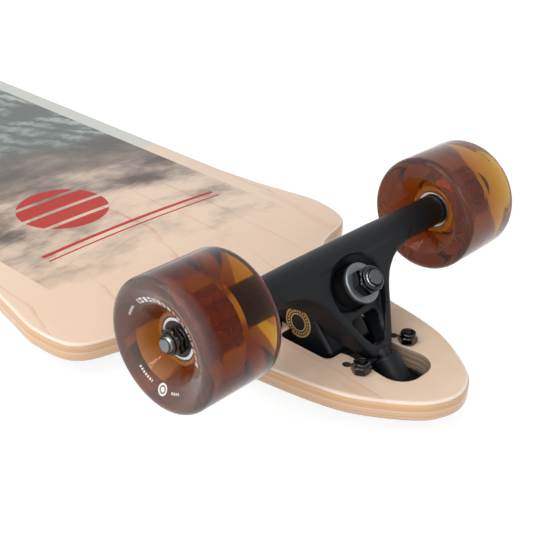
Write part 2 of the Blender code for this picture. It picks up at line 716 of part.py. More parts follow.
def web_outline():
    """Outline of the hanger's web in its own plane, as (across, along the pivot)."""
    barrel = AXLE_ALONG_PIVOT
    right = [
        (0.0560, barrel - 0.0050), (0.0545, barrel - 0.0088), (0.0480, barrel - 0.0098),
        (0.0415, barrel - 0.0113), (0.0350, barrel - 0.0141), (0.0310, barrel - 0.0168),
        (0.0279, barrel - 0.0198), (0.0252, barrel - 0.0237), (0.0229, barrel - 0.0278),
        (0.0207, barrel - 0.0325), (0.0184, barrel - 0.0375), (0.0157, barrel - 0.0430),
        (0.0122, barrel - 0.0500), (0.0078, WEB_NOSE), (0.0052, WEB_NOSE - 0.0040)]
    return right + [(-across, along) for across, along in reversed(right)]


def shelf_outline():
    """Outline of the shallow shelf round the window, which runs up into the recess."""
    window = WINDOW_BOTTOM_HALF_WIDTH
    top = WINDOW_HALF_WIDTH
    right = [
        (window * 0.5, SHELF_BOTTOM), (window + 0.0006, SHELF_BOTTOM + 0.0028),
        (window + 0.0038, WINDOW_BOTTOM + 0.0060), (top + 0.0006, WINDOW_TOP - 0.0042),
        (top + 0.0038, WINDOW_TOP + 0.0014), (top + 0.0067, WINDOW_TOP + 0.0074),
        (RECESS_HALF_WIDTH - 0.0004, KINGPIN_ALONG_PIVOT - 0.0014),
        (RECESS_HALF_WIDTH - 0.0008, KINGPIN_ALONG_PIVOT + 0.0038)]
    return right + [(-across, along) for across, along in reversed(right)]


def hanger_web():
    """Web between barrel and nose: a slab cut by its front and back planes."""
    bm = prism(web_outline(), WEB_BACK_AT_KNEE - BEYOND, BARREL_END_RADIUS + BEYOND, web_point)
    slope = (BARREL_END_RADIUS - WEB_FRONT_AT_NOSE) / (AXLE_ALONG_PIVOT - WEB_NOSE)
    front_low = Vector((WEB_FRONT_AT_NOSE, 0, WEB_NOSE))
    front_high = Vector((WEB_FRONT_AT_NOSE + slope, 0, WEB_NOSE + 1))
    knee = Vector((WEB_BACK_AT_KNEE, 0, WEB_KNEE))
    back_high = Vector((-BARREL_END_RADIUS, 0, AXLE_ALONG_PIVOT))
    back_low = Vector((WEB_BACK_AT_NOSE, 0, WEB_NOSE))
    planes = [
        (front_low, front_high - front_low, 1.0), (knee, back_high - knee, -1.0),
        (knee, knee - back_low, -1.0)]
    for place, along, facing in planes:
        normal = Vector((along.z, 0, -along.x)).normalized() * facing
        geometry = bm.verts[:] + bm.edges[:] + bm.faces[:]
        bmesh.ops.bisect_plane(
            bm, geom=geometry, plane_co=place, plane_no=normal, clear_outer=True)
        edges = [edge for edge in bm.edges if edge.is_boundary]
        bmesh.ops.holes_fill(bm, edges=edges)
    bmesh.ops.recalc_face_normals(bm, faces=bm.faces)
    return bm


def ring_stack(rings, steps):
    """Loft of ellipses along X; each ring is (x, half across, half along, middle along)."""
    bm = bmesh.new()
    loops = []
    for x, half_across, half_along, middle in rings:
        loop = bmesh.ops.create_circle(bm, segments=steps, radius=1.0)["verts"]
        for vert in loop:
            vert.co = (x, vert.co.x * half_across, middle + vert.co.y * half_along)
        loops.append(loop)
    for first, second in zip(loops, loops[1:]):
        edges = [edge for edge in bm.edges if edge.verts[0] in first and edge.verts[1] in first]
        edges += [edge for edge in bm.edges if edge.verts[0] in second and edge.verts[1] in second]
        bmesh.ops.bridge_loops(bm, edges=edges)
    bm.faces.new(loops[0])
    bm.faces.new(loops[-1])
    bmesh.ops.recalc_face_normals(bm, faces=bm.faces)
    return bm


def barrel_profile():
    """Half section of the hanger's barrel, along the axle."""
    right = [
        (0.0, HANGER_HALF_LENGTH), (BARREL_END_RADIUS - BARREL_CHAMFER, HANGER_HALF_LENGTH),
        (BARREL_END_RADIUS, HANGER_HALF_LENGTH - BARREL_CHAMFER),
        (BARREL_END_RADIUS, BARREL_TAPER_END), (BARREL_MIDDLE_RADIUS, BARREL_TAPER_START)]
    return right + [(radius, -height) for radius, height in reversed(right)]


def axle_profile():
    """Half section of the axle, with a chamfer at each end."""
    right = [
        (0.0, AXLE_HALF_LENGTH), (AXLE_RADIUS - AXLE_CHAMFER, AXLE_HALF_LENGTH),
        (AXLE_RADIUS, AXLE_HALF_LENGTH - AXLE_CHAMFER)]
    return right + [(radius, -height) for radius, height in reversed(right)]


def build_hanger(label, truck):
    """Cast hanger: barrel round the axle, web with its recess and window, pivot nose."""
    steer = bpy.data.objects.new("steer_" + label, None)
    BOARD.objects.link(steer)
    steer.parent = truck
    steer.matrix_local = PIVOT_FRAME
    hanger = link_mesh("hanger_" + label, hanger_web(), PAINTED, steer)
    add_bevel(hanger, WEB_EDGE_ROUND, 2, radians(50))
    trim = prism(
        [(-FAR, WEB_NOSE - FAR), (FAR, WEB_NOSE - FAR), (FAR, WEB_NOSE), (-FAR, WEB_NOSE)],
        -FAR, FAR, web_point)
    add_boolean(hanger, add_cutter(label + "_trim", trim, steer))
    barrel_frame = Matrix.Translation((0, 0, AXLE_ALONG_PIVOT)) @ Matrix.Rotation(-pi / 2, 4, "X")
    barrel = turned_cutter(
        label + "_barrel", barrel_profile(), BARREL_STEPS, steer, barrel_frame)
    add_boolean(hanger, barrel, "UNION")
    tip = PIVOT_MOUTH - CUP_DEPTH + CUP_FLOOR + NOSE_RUNNING_GAP
    nose = turned_cutter(
        label + "_nose",
        [(0.0, WEB_NOSE + INSIDE * 4), (NOSE_RADIUS - NOSE_CHAMFER, WEB_NOSE + INSIDE * 3),
         (NOSE_RADIUS, WEB_NOSE + INSIDE), (NOSE_RADIUS, tip + NOSE_CHAMFER),
         (NOSE_RADIUS - NOSE_CHAMFER, tip), (0.0, tip)], BEARING_STEPS, steer)
    add_boolean(hanger, nose, "UNION")
    seat = BUSHING_RADIUS + RECESS_SEAT_GAP
    middle = KINGPIN_ALONG_PIVOT
    mouth = middle + RECESS_RISE
    cuts = {
        "recess": (RECESS_STEPS, [
            (RING_FRONT, RECESS_FLOOR_HALF_WIDTH, RECESS_FLOOR_HALF_HEIGHT, middle),
            (RECESS_KNEE, RECESS_KNEE_HALF_WIDTH, RECESS_KNEE_HALF_HEIGHT, middle),
            (RECESS_MOUTH, RECESS_HALF_WIDTH, RECESS_HALF_HEIGHT, mouth),
            (0.0200, RECESS_HALF_WIDTH + 0.0040, RECESS_HALF_HEIGHT + 0.0010, mouth)]),
        "back_seat": (CORE_STEPS, [
            (RING_BACK, seat, seat, middle), (-FAR, seat, seat, middle)]),
        "ring_bore": (PIN_STEPS, [
            (-FAR, RING_BORE_RADIUS, RING_BORE_RADIUS, middle),
            (BEYOND, RING_BORE_RADIUS, RING_BORE_RADIUS, middle)])}
    for name, (steps, rings) in cuts.items():
        cutter = add_cutter(f"{label}_{name}", ring_stack(rings, steps), steer)
        add_boolean(hanger, cutter)
    shelf = prism(shelf_outline(), SHELF_LEVEL, FAR, web_point)
    add_boolean(hanger, add_cutter(label + "_shelf", shelf, steer))
    window = rounded(
        [(-WINDOW_HALF_WIDTH, WINDOW_TOP), (WINDOW_HALF_WIDTH, WINDOW_TOP),
         (WINDOW_BOTTOM_HALF_WIDTH, WINDOW_BOTTOM), (-WINDOW_BOTTOM_HALF_WIDTH, WINDOW_BOTTOM)],
        WINDOW_CORNER_RADIUS, 3)
    window = prism(window, -FAR, FAR, web_point)
    add_boolean(hanger, add_cutter(label + "_window", window, steer))
    reach = HANGER_HALF_LENGTH + BEYOND
    bore = rod_cutter(
        label + "_axle_bore", AXLE_RADIUS + CLEARANCE, -reach, reach, PIN_STEPS, steer,
        barrel_frame)
    add_boolean(hanger, bore)
    turned(
        "axle_" + label, axle_profile(), BARE_STEEL, PIN_STEPS, False, steer, barrel_frame)
    return steer


def tyre_profile():
    """Tyre section: (radius, height), with the outer side of the wheel at the top."""
    half = WHEEL_WIDTH / 2
    arc = [
        (WHEEL_RADIUS - WHEEL_EDGE_RADIUS * (1 - cos(turn)),
         half - WHEEL_EDGE_RADIUS * (1 - sin(turn)))
        for turn in (pi / 2, pi / 4, 0.0)]
    outer = arc + [(radius, -height) for radius, height in reversed(arc)]
    bore = CORE_HUB_RADIUS + CLEARANCE
    rim = CORE_RADIUS + CLEARANCE
    flange = CORE_FLANGE_HALF_WIDTH
    inner = [
        (RECESS_MOUTH_INNER, -half), (bore, -CORE_HALF_WIDTH), (rim, -flange), (rim, flange),
        (bore, CORE_HALF_WIDTH), (RECESS_MOUTH_OUTER, half - OUTER_DISH_DEPTH),
        (OUTER_DISH_RADIUS, half)]
    return outer + inner


def core_profile():
    """Core section: hub swollen in the middle, two bearing seats and a shoulder between."""
    seat = BEARING_RADIUS + CLEARANCE
    shoulder = BEARING_SPACING / 2 - CLEARANCE
    return [
        (CORE_HUB_RADIUS, CORE_HALF_WIDTH), (CORE_RADIUS, CORE_FLANGE_HALF_WIDTH),
        (CORE_RADIUS, -CORE_FLANGE_HALF_WIDTH), (CORE_HUB_RADIUS, -CORE_HALF_WIDTH),
        (seat, -CORE_HALF_WIDTH), (seat, -shoulder), (CORE_SHOULDER_RADIUS, -shoulder),
        (CORE_SHOULDER_RADIUS, shoulder), (seat, shoulder), (seat, CORE_HALF_WIDTH)]


def left_way(label):
    """Which way the board's left lies along a truck's own Y; the rear truck is turned round."""
    return -1 if label == "rear" else 1


def build_wheel(label, side_name, side, steer):
    """One wheel: tyre, core, two bearings and the axle nut that holds it."""
    frame = PIVOT_FRAME.inverted() @ axle_frame(WHEEL_MIDDLE, side)
    name = f"{label}_{side_name}"
    turned("tyre_" + name, tyre_profile(), AMBER, WHEEL_STEPS, True, steer, frame)
    turned("core_" + name, core_profile(), CORE_AMBER, CORE_STEPS, True, steer, frame)
    half = BEARING_WIDTH / 2
    bore = AXLE_RADIUS + CLEARANCE
    for place, offset in (("inner", -BEARING_OFFSET), ("outer", BEARING_OFFSET)):
        ring = [
            (BEARING_RADIUS, offset + half), (BEARING_RADIUS, offset - half),
            (bore, offset - half), (bore, offset + half)]
        turned(f"bearing_{place}_{name}", ring, BARE_STEEL, BEARING_STEPS, True, steer, frame)
    nut_frame = PIVOT_FRAME.inverted() @ axle_frame(AXLE_NUT_SEAT, side)
    sizes = (AXLE_NUT_FLATS, AXLE_NUT_HEX_HEIGHT, AXLE_NUT_HEIGHT, AXLE_NUT_COLLAR_RADIUS)
    build_nut("axle_nut_" + name, sizes, BLACK_STEEL, bore, steer, nut_frame)


def build_mounting_bolts(label, truck):
    """Four bolts from the grip side, each with a lock nut on the deck's underside."""
    sizes = (LOCK_NUT_FLATS, LOCK_NUT_HEX_HEIGHT, LOCK_NUT_HEIGHT, LOCK_NUT_COLLAR_RADIUS)
    head_low = BOLT_HEAD_TOP - BOLT_HEAD_HEIGHT
    crown = BOLT_HEAD_RADIUS - BOLT_CROWN_INSET
    socket = head_low + BOLT_SOCKET_DEPTH
    profile = [
        (0.0, BOLT_STICK_OUT), (BOLT_RADIUS, BOLT_STICK_OUT), (BOLT_RADIUS, BOLT_HEAD_TOP),
        (BOLT_HEAD_RADIUS, BOLT_HEAD_TOP), (BOLT_HEAD_RADIUS, head_low + BOLT_CROWN_HEIGHT),
        (crown, head_low), (BOLT_SOCKET_RADIUS, head_low), (BOLT_SOCKET_RADIUS, socket),
        (0.0, socket)]
    for x, y in BOLT_PLACES:
        end = "outer" if x == 0 else "inner"
        side = "left" if y * left_way(label) > 0 else "right"
        place = f"{end}_{side}"
        frame = Matrix.Translation((x, y, 0))
        turned(f"bolt_{label}_{place}", profile, BLACK_STEEL, HOLE_STEPS, False, truck, frame)
        frame = Matrix.Translation((x, y, CLEARANCE))
        build_nut(
            f"lock_nut_{label}_{place}", sizes, BLACK_STEEL, BOLT_HOLE_RADIUS, truck, frame)


def build_truck(label, truck):
    """Everything that one truck is made of."""
    build_baseplate(label, truck)
    build_pivot_cup(label, truck)
    build_kingpin(label, truck)
    steer = build_hanger(label, truck)
    left = left_way(label)
    for side_name, side in (("left", left), ("right", -left)):
        build_wheel(label, side_name, side, steer)
    build_mounting_bolts(label, truck)


def main():
    """Place the two trucks end for end under the deck and build every piece."""
    trucks = {}
    for label, turn in (("front", 0.0), ("rear", pi)):
        truck = bpy.data.objects.new("truck_" + label, None)
        BOARD.objects.link(truck)
        reach = Vector((OUTER_BOLTS, 0, DECK_FACE))
        truck.matrix_world = Matrix.Rotation(turn, 4, "Z") @ Matrix.Translation(reach)
        trucks[label] = truck
    build_deck(trucks)
    for label, truck in trucks.items():
        build_truck(label, truck)


main()
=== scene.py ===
"""Looks of a drop-through longboard that lies upside down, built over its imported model."""

from math import atan2, cos, floor, pi, radians, sin, sqrt

import bmesh
import bpy
from mathutils import Matrix, Vector


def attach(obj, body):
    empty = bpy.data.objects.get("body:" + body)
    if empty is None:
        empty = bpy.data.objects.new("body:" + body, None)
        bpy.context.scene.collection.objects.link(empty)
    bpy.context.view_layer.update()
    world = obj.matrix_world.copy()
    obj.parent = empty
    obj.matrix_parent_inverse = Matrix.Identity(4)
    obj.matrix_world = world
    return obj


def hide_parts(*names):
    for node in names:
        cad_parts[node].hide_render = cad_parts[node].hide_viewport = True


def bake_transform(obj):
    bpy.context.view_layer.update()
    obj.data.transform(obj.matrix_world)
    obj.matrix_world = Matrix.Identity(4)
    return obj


bl_info = {
    "name": "Drop-through longboard",
    "version": (1, 0, 0),
    "blender": (4, 5, 0),
    "location": "3D View > Sidebar > Longboard",
    "description": "Models and finishes the visible pieces of a longboard over its packed model",
    "category": "Add Mesh",
}

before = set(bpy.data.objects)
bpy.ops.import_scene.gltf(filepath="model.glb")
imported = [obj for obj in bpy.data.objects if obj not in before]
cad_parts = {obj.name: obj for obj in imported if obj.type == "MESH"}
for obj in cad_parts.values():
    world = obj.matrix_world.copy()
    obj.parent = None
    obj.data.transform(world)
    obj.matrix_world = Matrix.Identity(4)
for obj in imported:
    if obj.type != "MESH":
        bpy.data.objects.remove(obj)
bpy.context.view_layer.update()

ENDS = ("front", "rear")
SIDES = ("left", "right")

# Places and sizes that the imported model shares, in metres
CLEARANCE = 0.0003
DECK_LENGTH = 1.020
DECK_THICKNESS = 0.012
DECK_FACE = 0.0216
OUTER_BOLTS = 0.461
RISE_START = 0.070
RISE_END = 0.172
PLATFORM_RISE = 0.009
CONCAVE_DEPTH = 0.004
PLATFORM_HALF_WIDTH = 0.1105
FLARE_HALF_WIDTH = 0.1216
GRIP_THICKNESS = 0.0009
GRIP_INSET = 0.005
BOLT_HALF = 0.02064
BOLT_ALONG = 0.0635
SPARE_ALONG = 0.009525
BOLT_HOLE_RADIUS = 0.0027
SPARE_HOLE_RADIUS = 0.0023
PIVOT_ANGLE = radians(50.0)
AXLE_ALONG_PIVOT = 0.0590
KINGPIN_ALONG_PIVOT = 0.0412
WHEEL_MIDDLE = 0.1030
LEFT_SIDE = {"front": 1.0, "rear": -1.0}
BOLT_PLACES = {
    "outer_right": (0.0, -BOLT_HALF), "outer_left": (0.0, BOLT_HALF),
    "inner_right": (-BOLT_ALONG, -BOLT_HALF), "inner_left": (-BOLT_ALONG, BOLT_HALF)}

# The print on the deck and the wheels, and the burnt walls of the deck's openings
PRINT_HALF_WIDTH = 0.092
MARGIN_HALF_LENGTH = 0.150
BLOCK_RADIUS = 0.0235
DOT_RADIUS = 0.0236
BURN_MIDDLE = 0.0330
BURN_HALF_LENGTH = 0.0590
BURN_HALF_WIDTH = 0.0260

ALONG_PIVOT = Vector((-cos(PIVOT_ANGLE), 0.0, sin(PIVOT_ANGLE)))
ALONG_KINGPIN = Vector((sin(PIVOT_ANGLE), 0.0, cos(PIVOT_ANGLE)))


def linear(code):
    """Turn an sRGB hex colour into the linear colour that shaders take."""
    parts = [int(code[index:index + 2], 16) / 255 for index in (1, 3, 5)]
    return [part / 12.92 if part <= 0.04045 else ((part + 0.055) / 1.055) ** 2.4 for part in parts]


def rgba(code):
    """An sRGB hex colour as a shader's linear colour with full alpha."""
    return (*linear(code), 1.0)


class LongboardFinish(bpy.types.PropertyGroup):
    """Colours of the board's finishes."""

    maple: bpy.props.FloatVectorProperty(
        name="Maple", description="Colour of the lacquered maple face", subtype="COLOR",
        size=3, min=0.0, max=1.0, default=linear("#E9CDB3"))
    print_red: bpy.props.FloatVectorProperty(
        name="Red print", description="Colour of the red shapes printed on the deck",
        subtype="COLOR", size=3, min=0.0, max=1.0, default=linear("#B52722"))
    paint: bpy.props.FloatVectorProperty(
        name="Truck paint", description="Colour of the satin paint on hangers and baseplates",
        subtype="COLOR", size=3, min=0.0, max=1.0, default=linear("#0E1115"))
    urethane: bpy.props.FloatVectorProperty(
        name="Wheel urethane", description="Colour that light takes on in the clear wheels",
        subtype="COLOR", size=3, min=0.0, max=1.0, default=(0.86, 0.73, 0.04))
    gold: bpy.props.FloatVectorProperty(
        name="Gold mark", description="Colour of the printed mark on the kingpin blocks",
        subtype="COLOR", size=3, min=0.0, max=1.0, default=linear("#B4935A"))


class LongboardSizes(bpy.types.PropertyGroup):
    """Sizes that shape the fine detail."""

    edge_radius: bpy.props.FloatProperty(
        name="Deck edge radius", description="Rounding of the deck's outer edges",
        subtype="DISTANCE", unit="LENGTH", default=0.0030, min=0.001, max=0.005)
    casting_voxel: bpy.props.FloatProperty(
        name="Casting voxel", description="Mesh size of the softened castings",
        subtype="DISTANCE", unit="LENGTH", default=0.0006, min=0.0004, max=0.002)
    wheel_steps: bpy.props.IntProperty(
        name="Wheel steps", description="Facets round a wheel", default=96, min=24, max=256)
    core_slots: bpy.props.IntProperty(
        name="Core slots", description="Slots round the core of a wheel", default=14, min=4, max=30)


def axes_matrix(origin, z_axis, x_axis):
    """Matrix with an origin, whose Z and X run along two square directions."""
    rotation = Matrix((x_axis, z_axis.cross(x_axis), z_axis)).transposed()
    return Matrix.Translation(origin) @ rotation.to_4x4()


def truck_matrix(end):
    """Frame of one truck: midway between its outer bolts on the deck's underside."""
    turn = 0.0 if end == "front" else pi
    reach = Matrix.Translation((OUTER_BOLTS, 0.0, DECK_FACE))
    return Matrix.Rotation(turn, 4, "Z") @ reach


def kingpin_matrix(end):
    """Frame on a truck's kingpin, with Z towards its nut."""
    return truck_matrix(end) @ axes_matrix(
        ALONG_PIVOT * KINGPIN_ALONG_PIVOT, ALONG_KINGPIN, ALONG_PIVOT)


def pivot_matrix(end):
    """Frame on a truck's steering axis, with Z towards the axle."""
    return truck_matrix(end) @ axes_matrix(Vector((0, 0, 0)), ALONG_PIVOT, ALONG_KINGPIN)


def axle_matrix(end, side, across=0.0):
    """Frame on a truck's axle, with Z outwards on the named side of the board."""
    sign = LEFT_SIDE[end] if side == "left" else -LEFT_SIDE[end]
    z_axis = Vector((0.0, sign, 0.0))
    centre = ALONG_PIVOT * AXLE_ALONG_PIVOT + z_axis * across
    return truck_matrix(end) @ axes_matrix(centre, z_axis, Vector((1, 0, 0)))


def feed(tree, node, inputs):
    """Link or set a shader node's inputs, given by name or in the node's own order."""
    pairs = inputs.items() if isinstance(inputs, dict) else enumerate(inputs)
    for key, value in pairs:
        if isinstance(value, bpy.types.NodeSocket):
            tree.links.new(value, node.inputs[key])
        else:
            node.inputs[key].default_value = rgba(value) if isinstance(value, str) else value


def add(tree, kind, inputs=(), out=0, **settings):
    """Add a shader node with its settings and inputs, and return one output or the whole node."""
    node = tree.nodes.new("ShaderNode" + kind)
    for key, value in settings.items():
        setattr(node, key, value)
    feed(tree, node, inputs)
    return node if out is None else node.outputs[out]


def joined(tree, operation, values):
    """Join values one after the other by one operation, such as masks by MULTIPLY."""
    result = values[0]
    for value in values[1:]:
        result = add(tree, "Math", (result, value), operation=operation)
    return result


def offset_length(tree, x, y):
    """Length of a flat offset."""
    offset = add(tree, "CombineXYZ", (x, y))
    return add(tree, "VectorMath", (offset,), out="Value", operation="LENGTH")


def new_material(name):
    """A node material, its tree and its Principled shader."""
    material = bpy.data.materials.new(name)
    material.use_nodes = True
    return material, material.node_tree, material.node_tree.nodes["Principled BSDF"]


def set_ramp(ramp, stops):
    """Give a colour ramp its stops, as pairs of a position and an sRGB hex colour."""
    elements = ramp.color_ramp.elements
    while len(elements) > 1:
        elements.remove(elements[-1])
    for index, (position, colour) in enumerate(stops):
        element = elements[0] if index == 0 else elements.new(position)
        element.position = position
        element.color = rgba(colour)


# The veneers of the deck from its underside to its riding side, each with its glue line
PLY_TONES = (
    ("#E6C4A2", "#B87F52"), ("#E3B98E", "#D2A173"), ("#DEB288", "#BB8354"), ("#EAC9A8", "#D5A67A"),
    ("#E5C2A0", "#BF8B62"), ("#E6C3A2", "#D0A37E"), ("#D6AC8C", "#B98863"))


def ply_bands(tree, depth, streaks):
    """Colours across the deck's edge: plies 1.7 mm thick with thin, darker glue lines."""
    stops = []
    for index, (tone, line_tone) in enumerate(PLY_TONES):
        low = index / len(PLY_TONES)
        high = (index + 1) / len(PLY_TONES)
        stops += [(low + 0.014, tone), (high - 0.014, tone), (min(high, 1.0), line_tone)]
    share = add(tree, "Math", (depth, DECK_THICKNESS), operation="DIVIDE")
    wander = add(tree, "Math", (streaks, 0.03), operation="MULTIPLY")
    share = add(tree, "Math", (share, wander), operation="ADD")
    plies = add(tree, "ValToRGB", (share,), out=None)
    set_ramp(plies, stops)
    worn = add(tree, "Math", (streaks, 0.45), operation="MULTIPLY")
    return add(tree, "MixRGB", (worn, plies.outputs[0], "#CFA27C"))


def burn_and_painted_shade(tree, along, across, streaks):
    """Mask and colour of the openings' walls: grey-brown burn, with painted shade that turns them
    nearly black beneath the trucks.
    """
    from_middle = add(tree, "Math", (along, OUTER_BOLTS - BURN_MIDDLE), operation="SUBTRACT")
    from_middle = add(tree, "Math", (from_middle,), operation="ABSOLUTE")
    normal = add(tree, "NewGeometry", out="True Normal")
    tilt = add(tree, "Math", (add(tree, "SeparateXYZ", (normal,), out=2),), operation="ABSOLUTE")
    limits = ((from_middle, BURN_HALF_LENGTH), (across, BURN_HALF_WIDTH), (tilt, 0.97))
    burnt = joined(tree, "MULTIPLY", [
        add(tree, "Math", limit, operation="LESS_THAN") for limit in limits])
    wall_tone = add(tree, "MapRange", (streaks, 0.35, 0.68))
    wall_tone = add(tree, "MixRGB", (wall_tone, "#6B5A4B", "#B09A84"))
    # Painted shade: the walls turn nearly black towards the outer bolts, beneath the truck
    painted_truck_shade = add(tree, "MapRange", (along, OUTER_BOLTS - 0.016, OUTER_BOLTS + 0.002))
    return burnt, add(tree, "MixRGB", (painted_truck_shade, "#2B2420", wall_tone))


def bare_veneer(tree, finish, place):
    """Colour of the unprinted face, its fibres and how strong its growth lines are."""
    # Fibres about 1.5 mm apart, drawn 70 mm long
    fibre_place = add(tree, "Mapping", {"Vector": place, "Scale": (14, 650, 14)})
    fibres = add(tree, "TexNoise", {
        "Vector": fibre_place, "Scale": 1.0, "Detail": 3.0, "Roughness": 0.6})
    # Growth lines some 40 mm apart that wander, come and go, as on rotary-cut veneer
    ring_place = add(tree, "Mapping", {
        "Vector": place, "Scale": (0.22, 1.0, 1.0), "Rotation": (0, 0, radians(12))})
    rings = add(tree, "TexWave", {
        "Vector": ring_place, "Scale": 7.5, "Distortion": 8.0, "Detail": 4.0, "Detail Scale": 1.5,
        "Detail Roughness": 0.58}, out="Fac", wave_type="BANDS", bands_direction="Y",
        wave_profile="SAW")
    line = add(tree, "MapRange", (rings, 0.93, 0.99))
    strength = add(tree, "TexNoise", {"Vector": place, "Scale": 13.0, "Detail": 2.0})
    strength = add(tree, "MapRange", (strength, 0.40, 0.62, 0.16, 0.66))
    line = add(tree, "Math", (line, strength), operation="MULTIPLY")
    # The tone drifts over some 110 mm
    clouds = add(tree, "TexNoise", {"Vector": place, "Scale": 9.0, "Detail": 2.0})
    base = add(tree, "MixRGB", (fibres, "#F2DAC3", (*finish.maple, 1.0)))
    base = add(tree, "MixRGB", (clouds, base, "#E1C0A4"))
    return add(tree, "MixRGB", (line, base, "#CF8F76")), fibres, strength


def painted_edge_highlight(tree, strength):
    """Mask of a painted highlight: a pale line along the rounded edges, weaker where the growth
    lines are strong.
    """
    normal = add(tree, "NewGeometry", out="Normal")
    tilt = add(tree, "Math", (add(tree, "SeparateXYZ", (normal,), out=2),), operation="ABSOLUTE")
    highlight_band = add(tree, "Math", (tilt, 0.80, 0.14), operation="COMPARE")
    patchy = add(tree, "MapRange", (strength, 0.16, 0.66, 0.65, 0.30))
    return add(tree, "Math", (highlight_band, patchy), operation="MULTIPLY")


def maple_ply(finish):
    """Rotary-cut sugar maple, seven plies, lacquered: pale face, banded edge, burnt opening."""
    material, tree, shader = new_material("lacquered_maple_ply")
    place = add(tree, "TexCoord", out="Object")
    parts = add(tree, "SeparateXYZ", (place,), out=None).outputs
    along = add(tree, "Math", (parts[0],), operation="ABSOLUTE")
    across = add(tree, "Math", (parts[1],), operation="ABSOLUTE")
    # Height of the face above the edge's own rise gives the depth in the plies
    rise = add(tree, "MapRange", (
        along, OUTER_BOLTS - RISE_START, OUTER_BOLTS - RISE_END, 0.0,
        PLATFORM_RISE - CONCAVE_DEPTH), interpolation_type="SMOOTHSTEP")
    face = add(tree, "Math", (rise, DECK_FACE), operation="ADD")
    depth = add(tree, "Math", (face, parts[2]), operation="SUBTRACT")
    wood, fibres, strength = bare_veneer(tree, finish, place)
    printed, inked = deck_print(tree, finish, parts, place, wood)
    # Streaks 0.4 mm high and 45 mm long run through the plies
    streak_place = add(tree, "Mapping", {"Vector": place, "Scale": (22, 22, 2600)})
    streaks = add(tree, "TexNoise", {"Vector": streak_place, "Scale": 1.0, "Detail": 2.0})
    deep = add(tree, "MapRange", (depth, 0.0011, 0.0015))
    colour = add(tree, "MixRGB", (deep, printed, ply_bands(tree, depth, streaks)))
    # Painted highlight: a pale line along the deck's rounded edges
    colour = add(tree, "MixRGB", (painted_edge_highlight(tree, strength), colour, "#FBEDE6"))
    # Walls of the openings: grey-brown burn, with painted shade beneath the trucks
    burnt, wall_tone = burn_and_painted_shade(tree, along, across, streaks)
    # Ink dulls the lacquer
    feed(tree, shader, {
        "Base Color": add(tree, "MixRGB", (burnt, colour, wall_tone)),
        "Roughness": add(tree, "MapRange", (fibres, 0.0, 1.0, 0.30, 0.40)),
        "Specular IOR Level": add(tree, "MapRange", (inked, 0.0, 1.0, 0.25, 0.07)),
        "Coat Weight": add(tree, "MapRange", (inked, 0.0, 1.0, 0.35, 0.08)),
        "Coat Roughness": 0.09,
        "Normal": add(tree, "Bump", {"Height": fibres, "Strength": 0.05, "Distance": 0.0002})})
    return material


def drifting_ripples(tree, x, place):
    """Ripples and clouds of the print, and the line along which they drift out."""
    warp = add(tree, "TexNoise", {"Vector": place, "Scale": 14.0, "Detail": 5.0, "Roughness": 0.6})
    cloud_place = add(tree, "Mapping", {
        "Vector": place, "Scale": (1.0, 0.45, 1.0), "Rotation": (0, 0, radians(-24))})
    cloud = add(tree, "TexNoise", {
        "Vector": cloud_place, "Scale": 30.0, "Detail": 8.0, "Roughness": 0.62})
    cloud = add(tree, "MapRange", (cloud, 0.39, 0.70))
    # Ripples about 18 mm apart round a far point
    ripple_place = add(tree, "Mapping", {"Vector": place, "Location": (0.10, -0.34, 0.0)})
    ripples = add(tree, "TexWave", {
        "Vector": ripple_place, "Scale": 17.0, "Distortion": 9.0, "Detail": 6.0,
        "Detail Scale": 1.7, "Detail Roughness": 0.70}, out="Fac", wave_type="RINGS",
        rings_direction="Z", wave_profile="SIN")
    mixed = add(tree, "Math", (ripples, cloud), operation="MULTIPLY")
    cool = add(tree, "MixRGB", (mixed, "#5C6462", "#BFC8C4"))
    wobble = add(tree, "Math", (warp, 0.16), operation="MULTIPLY")
    reach = add(tree, "Math", (x, wobble), operation="ADD")
    # The clouds are dark next to the ripples and clear up towards the bare wood
    clearing = add(tree, "MapRange", (reach, 0.212, 0.280, 0.14, 1.0))
    bright = add(tree, "Math", (cloud, clearing), operation="MULTIPLY")
    warm = add(tree, "MixRGB", (bright, "#544D4B", "#D6C2B3"))
    to_warm = add(tree, "MapRange", (reach, 0.170, 0.215))
    drift = add(tree, "Math", (cloud, 0.075), operation="MULTIPLY")
    drift = add(tree, "Math", (reach, drift), operation="ADD")
    return add(tree, "MixRGB", (to_warm, cool, warm)), drift


def red_shapes(tree, x, y, across):
    """Mask of a red disc 62 mm across, cut by bare stripes, and two thin rules beyond it."""
    disc_x = add(tree, "Math", (x, 0.205), operation="SUBTRACT")
    disc_y = add(tree, "Math", (y, -0.022), operation="SUBTRACT")
    distance = offset_length(tree, disc_x, disc_y)
    disc = add(tree, "Math", (distance, 0.031), operation="LESS_THAN")
    stripe = add(tree, "Math", (disc_x, 0.0090), operation="PINGPONG")
    stripe = add(tree, "Math", (stripe, 0.0018), operation="GREATER_THAN")
    disc = add(tree, "Math", (disc, stripe), operation="MULTIPLY")
    rules = joined(tree, "ADD", [
        add(tree, "Math", (x, middle, half), operation="COMPARE")
        for middle, half in ((0.2520, 0.0016), (0.2590, 0.0008))])
    rule_length = add(tree, "Math", (across, 0.072), operation="LESS_THAN")
    rules = add(tree, "Math", (rules, rule_length), operation="MULTIPLY")
    red = add(tree, "Math", (disc, rules), operation="MAXIMUM")
    return add(tree, "Math", (red, 0.96), operation="MULTIPLY")


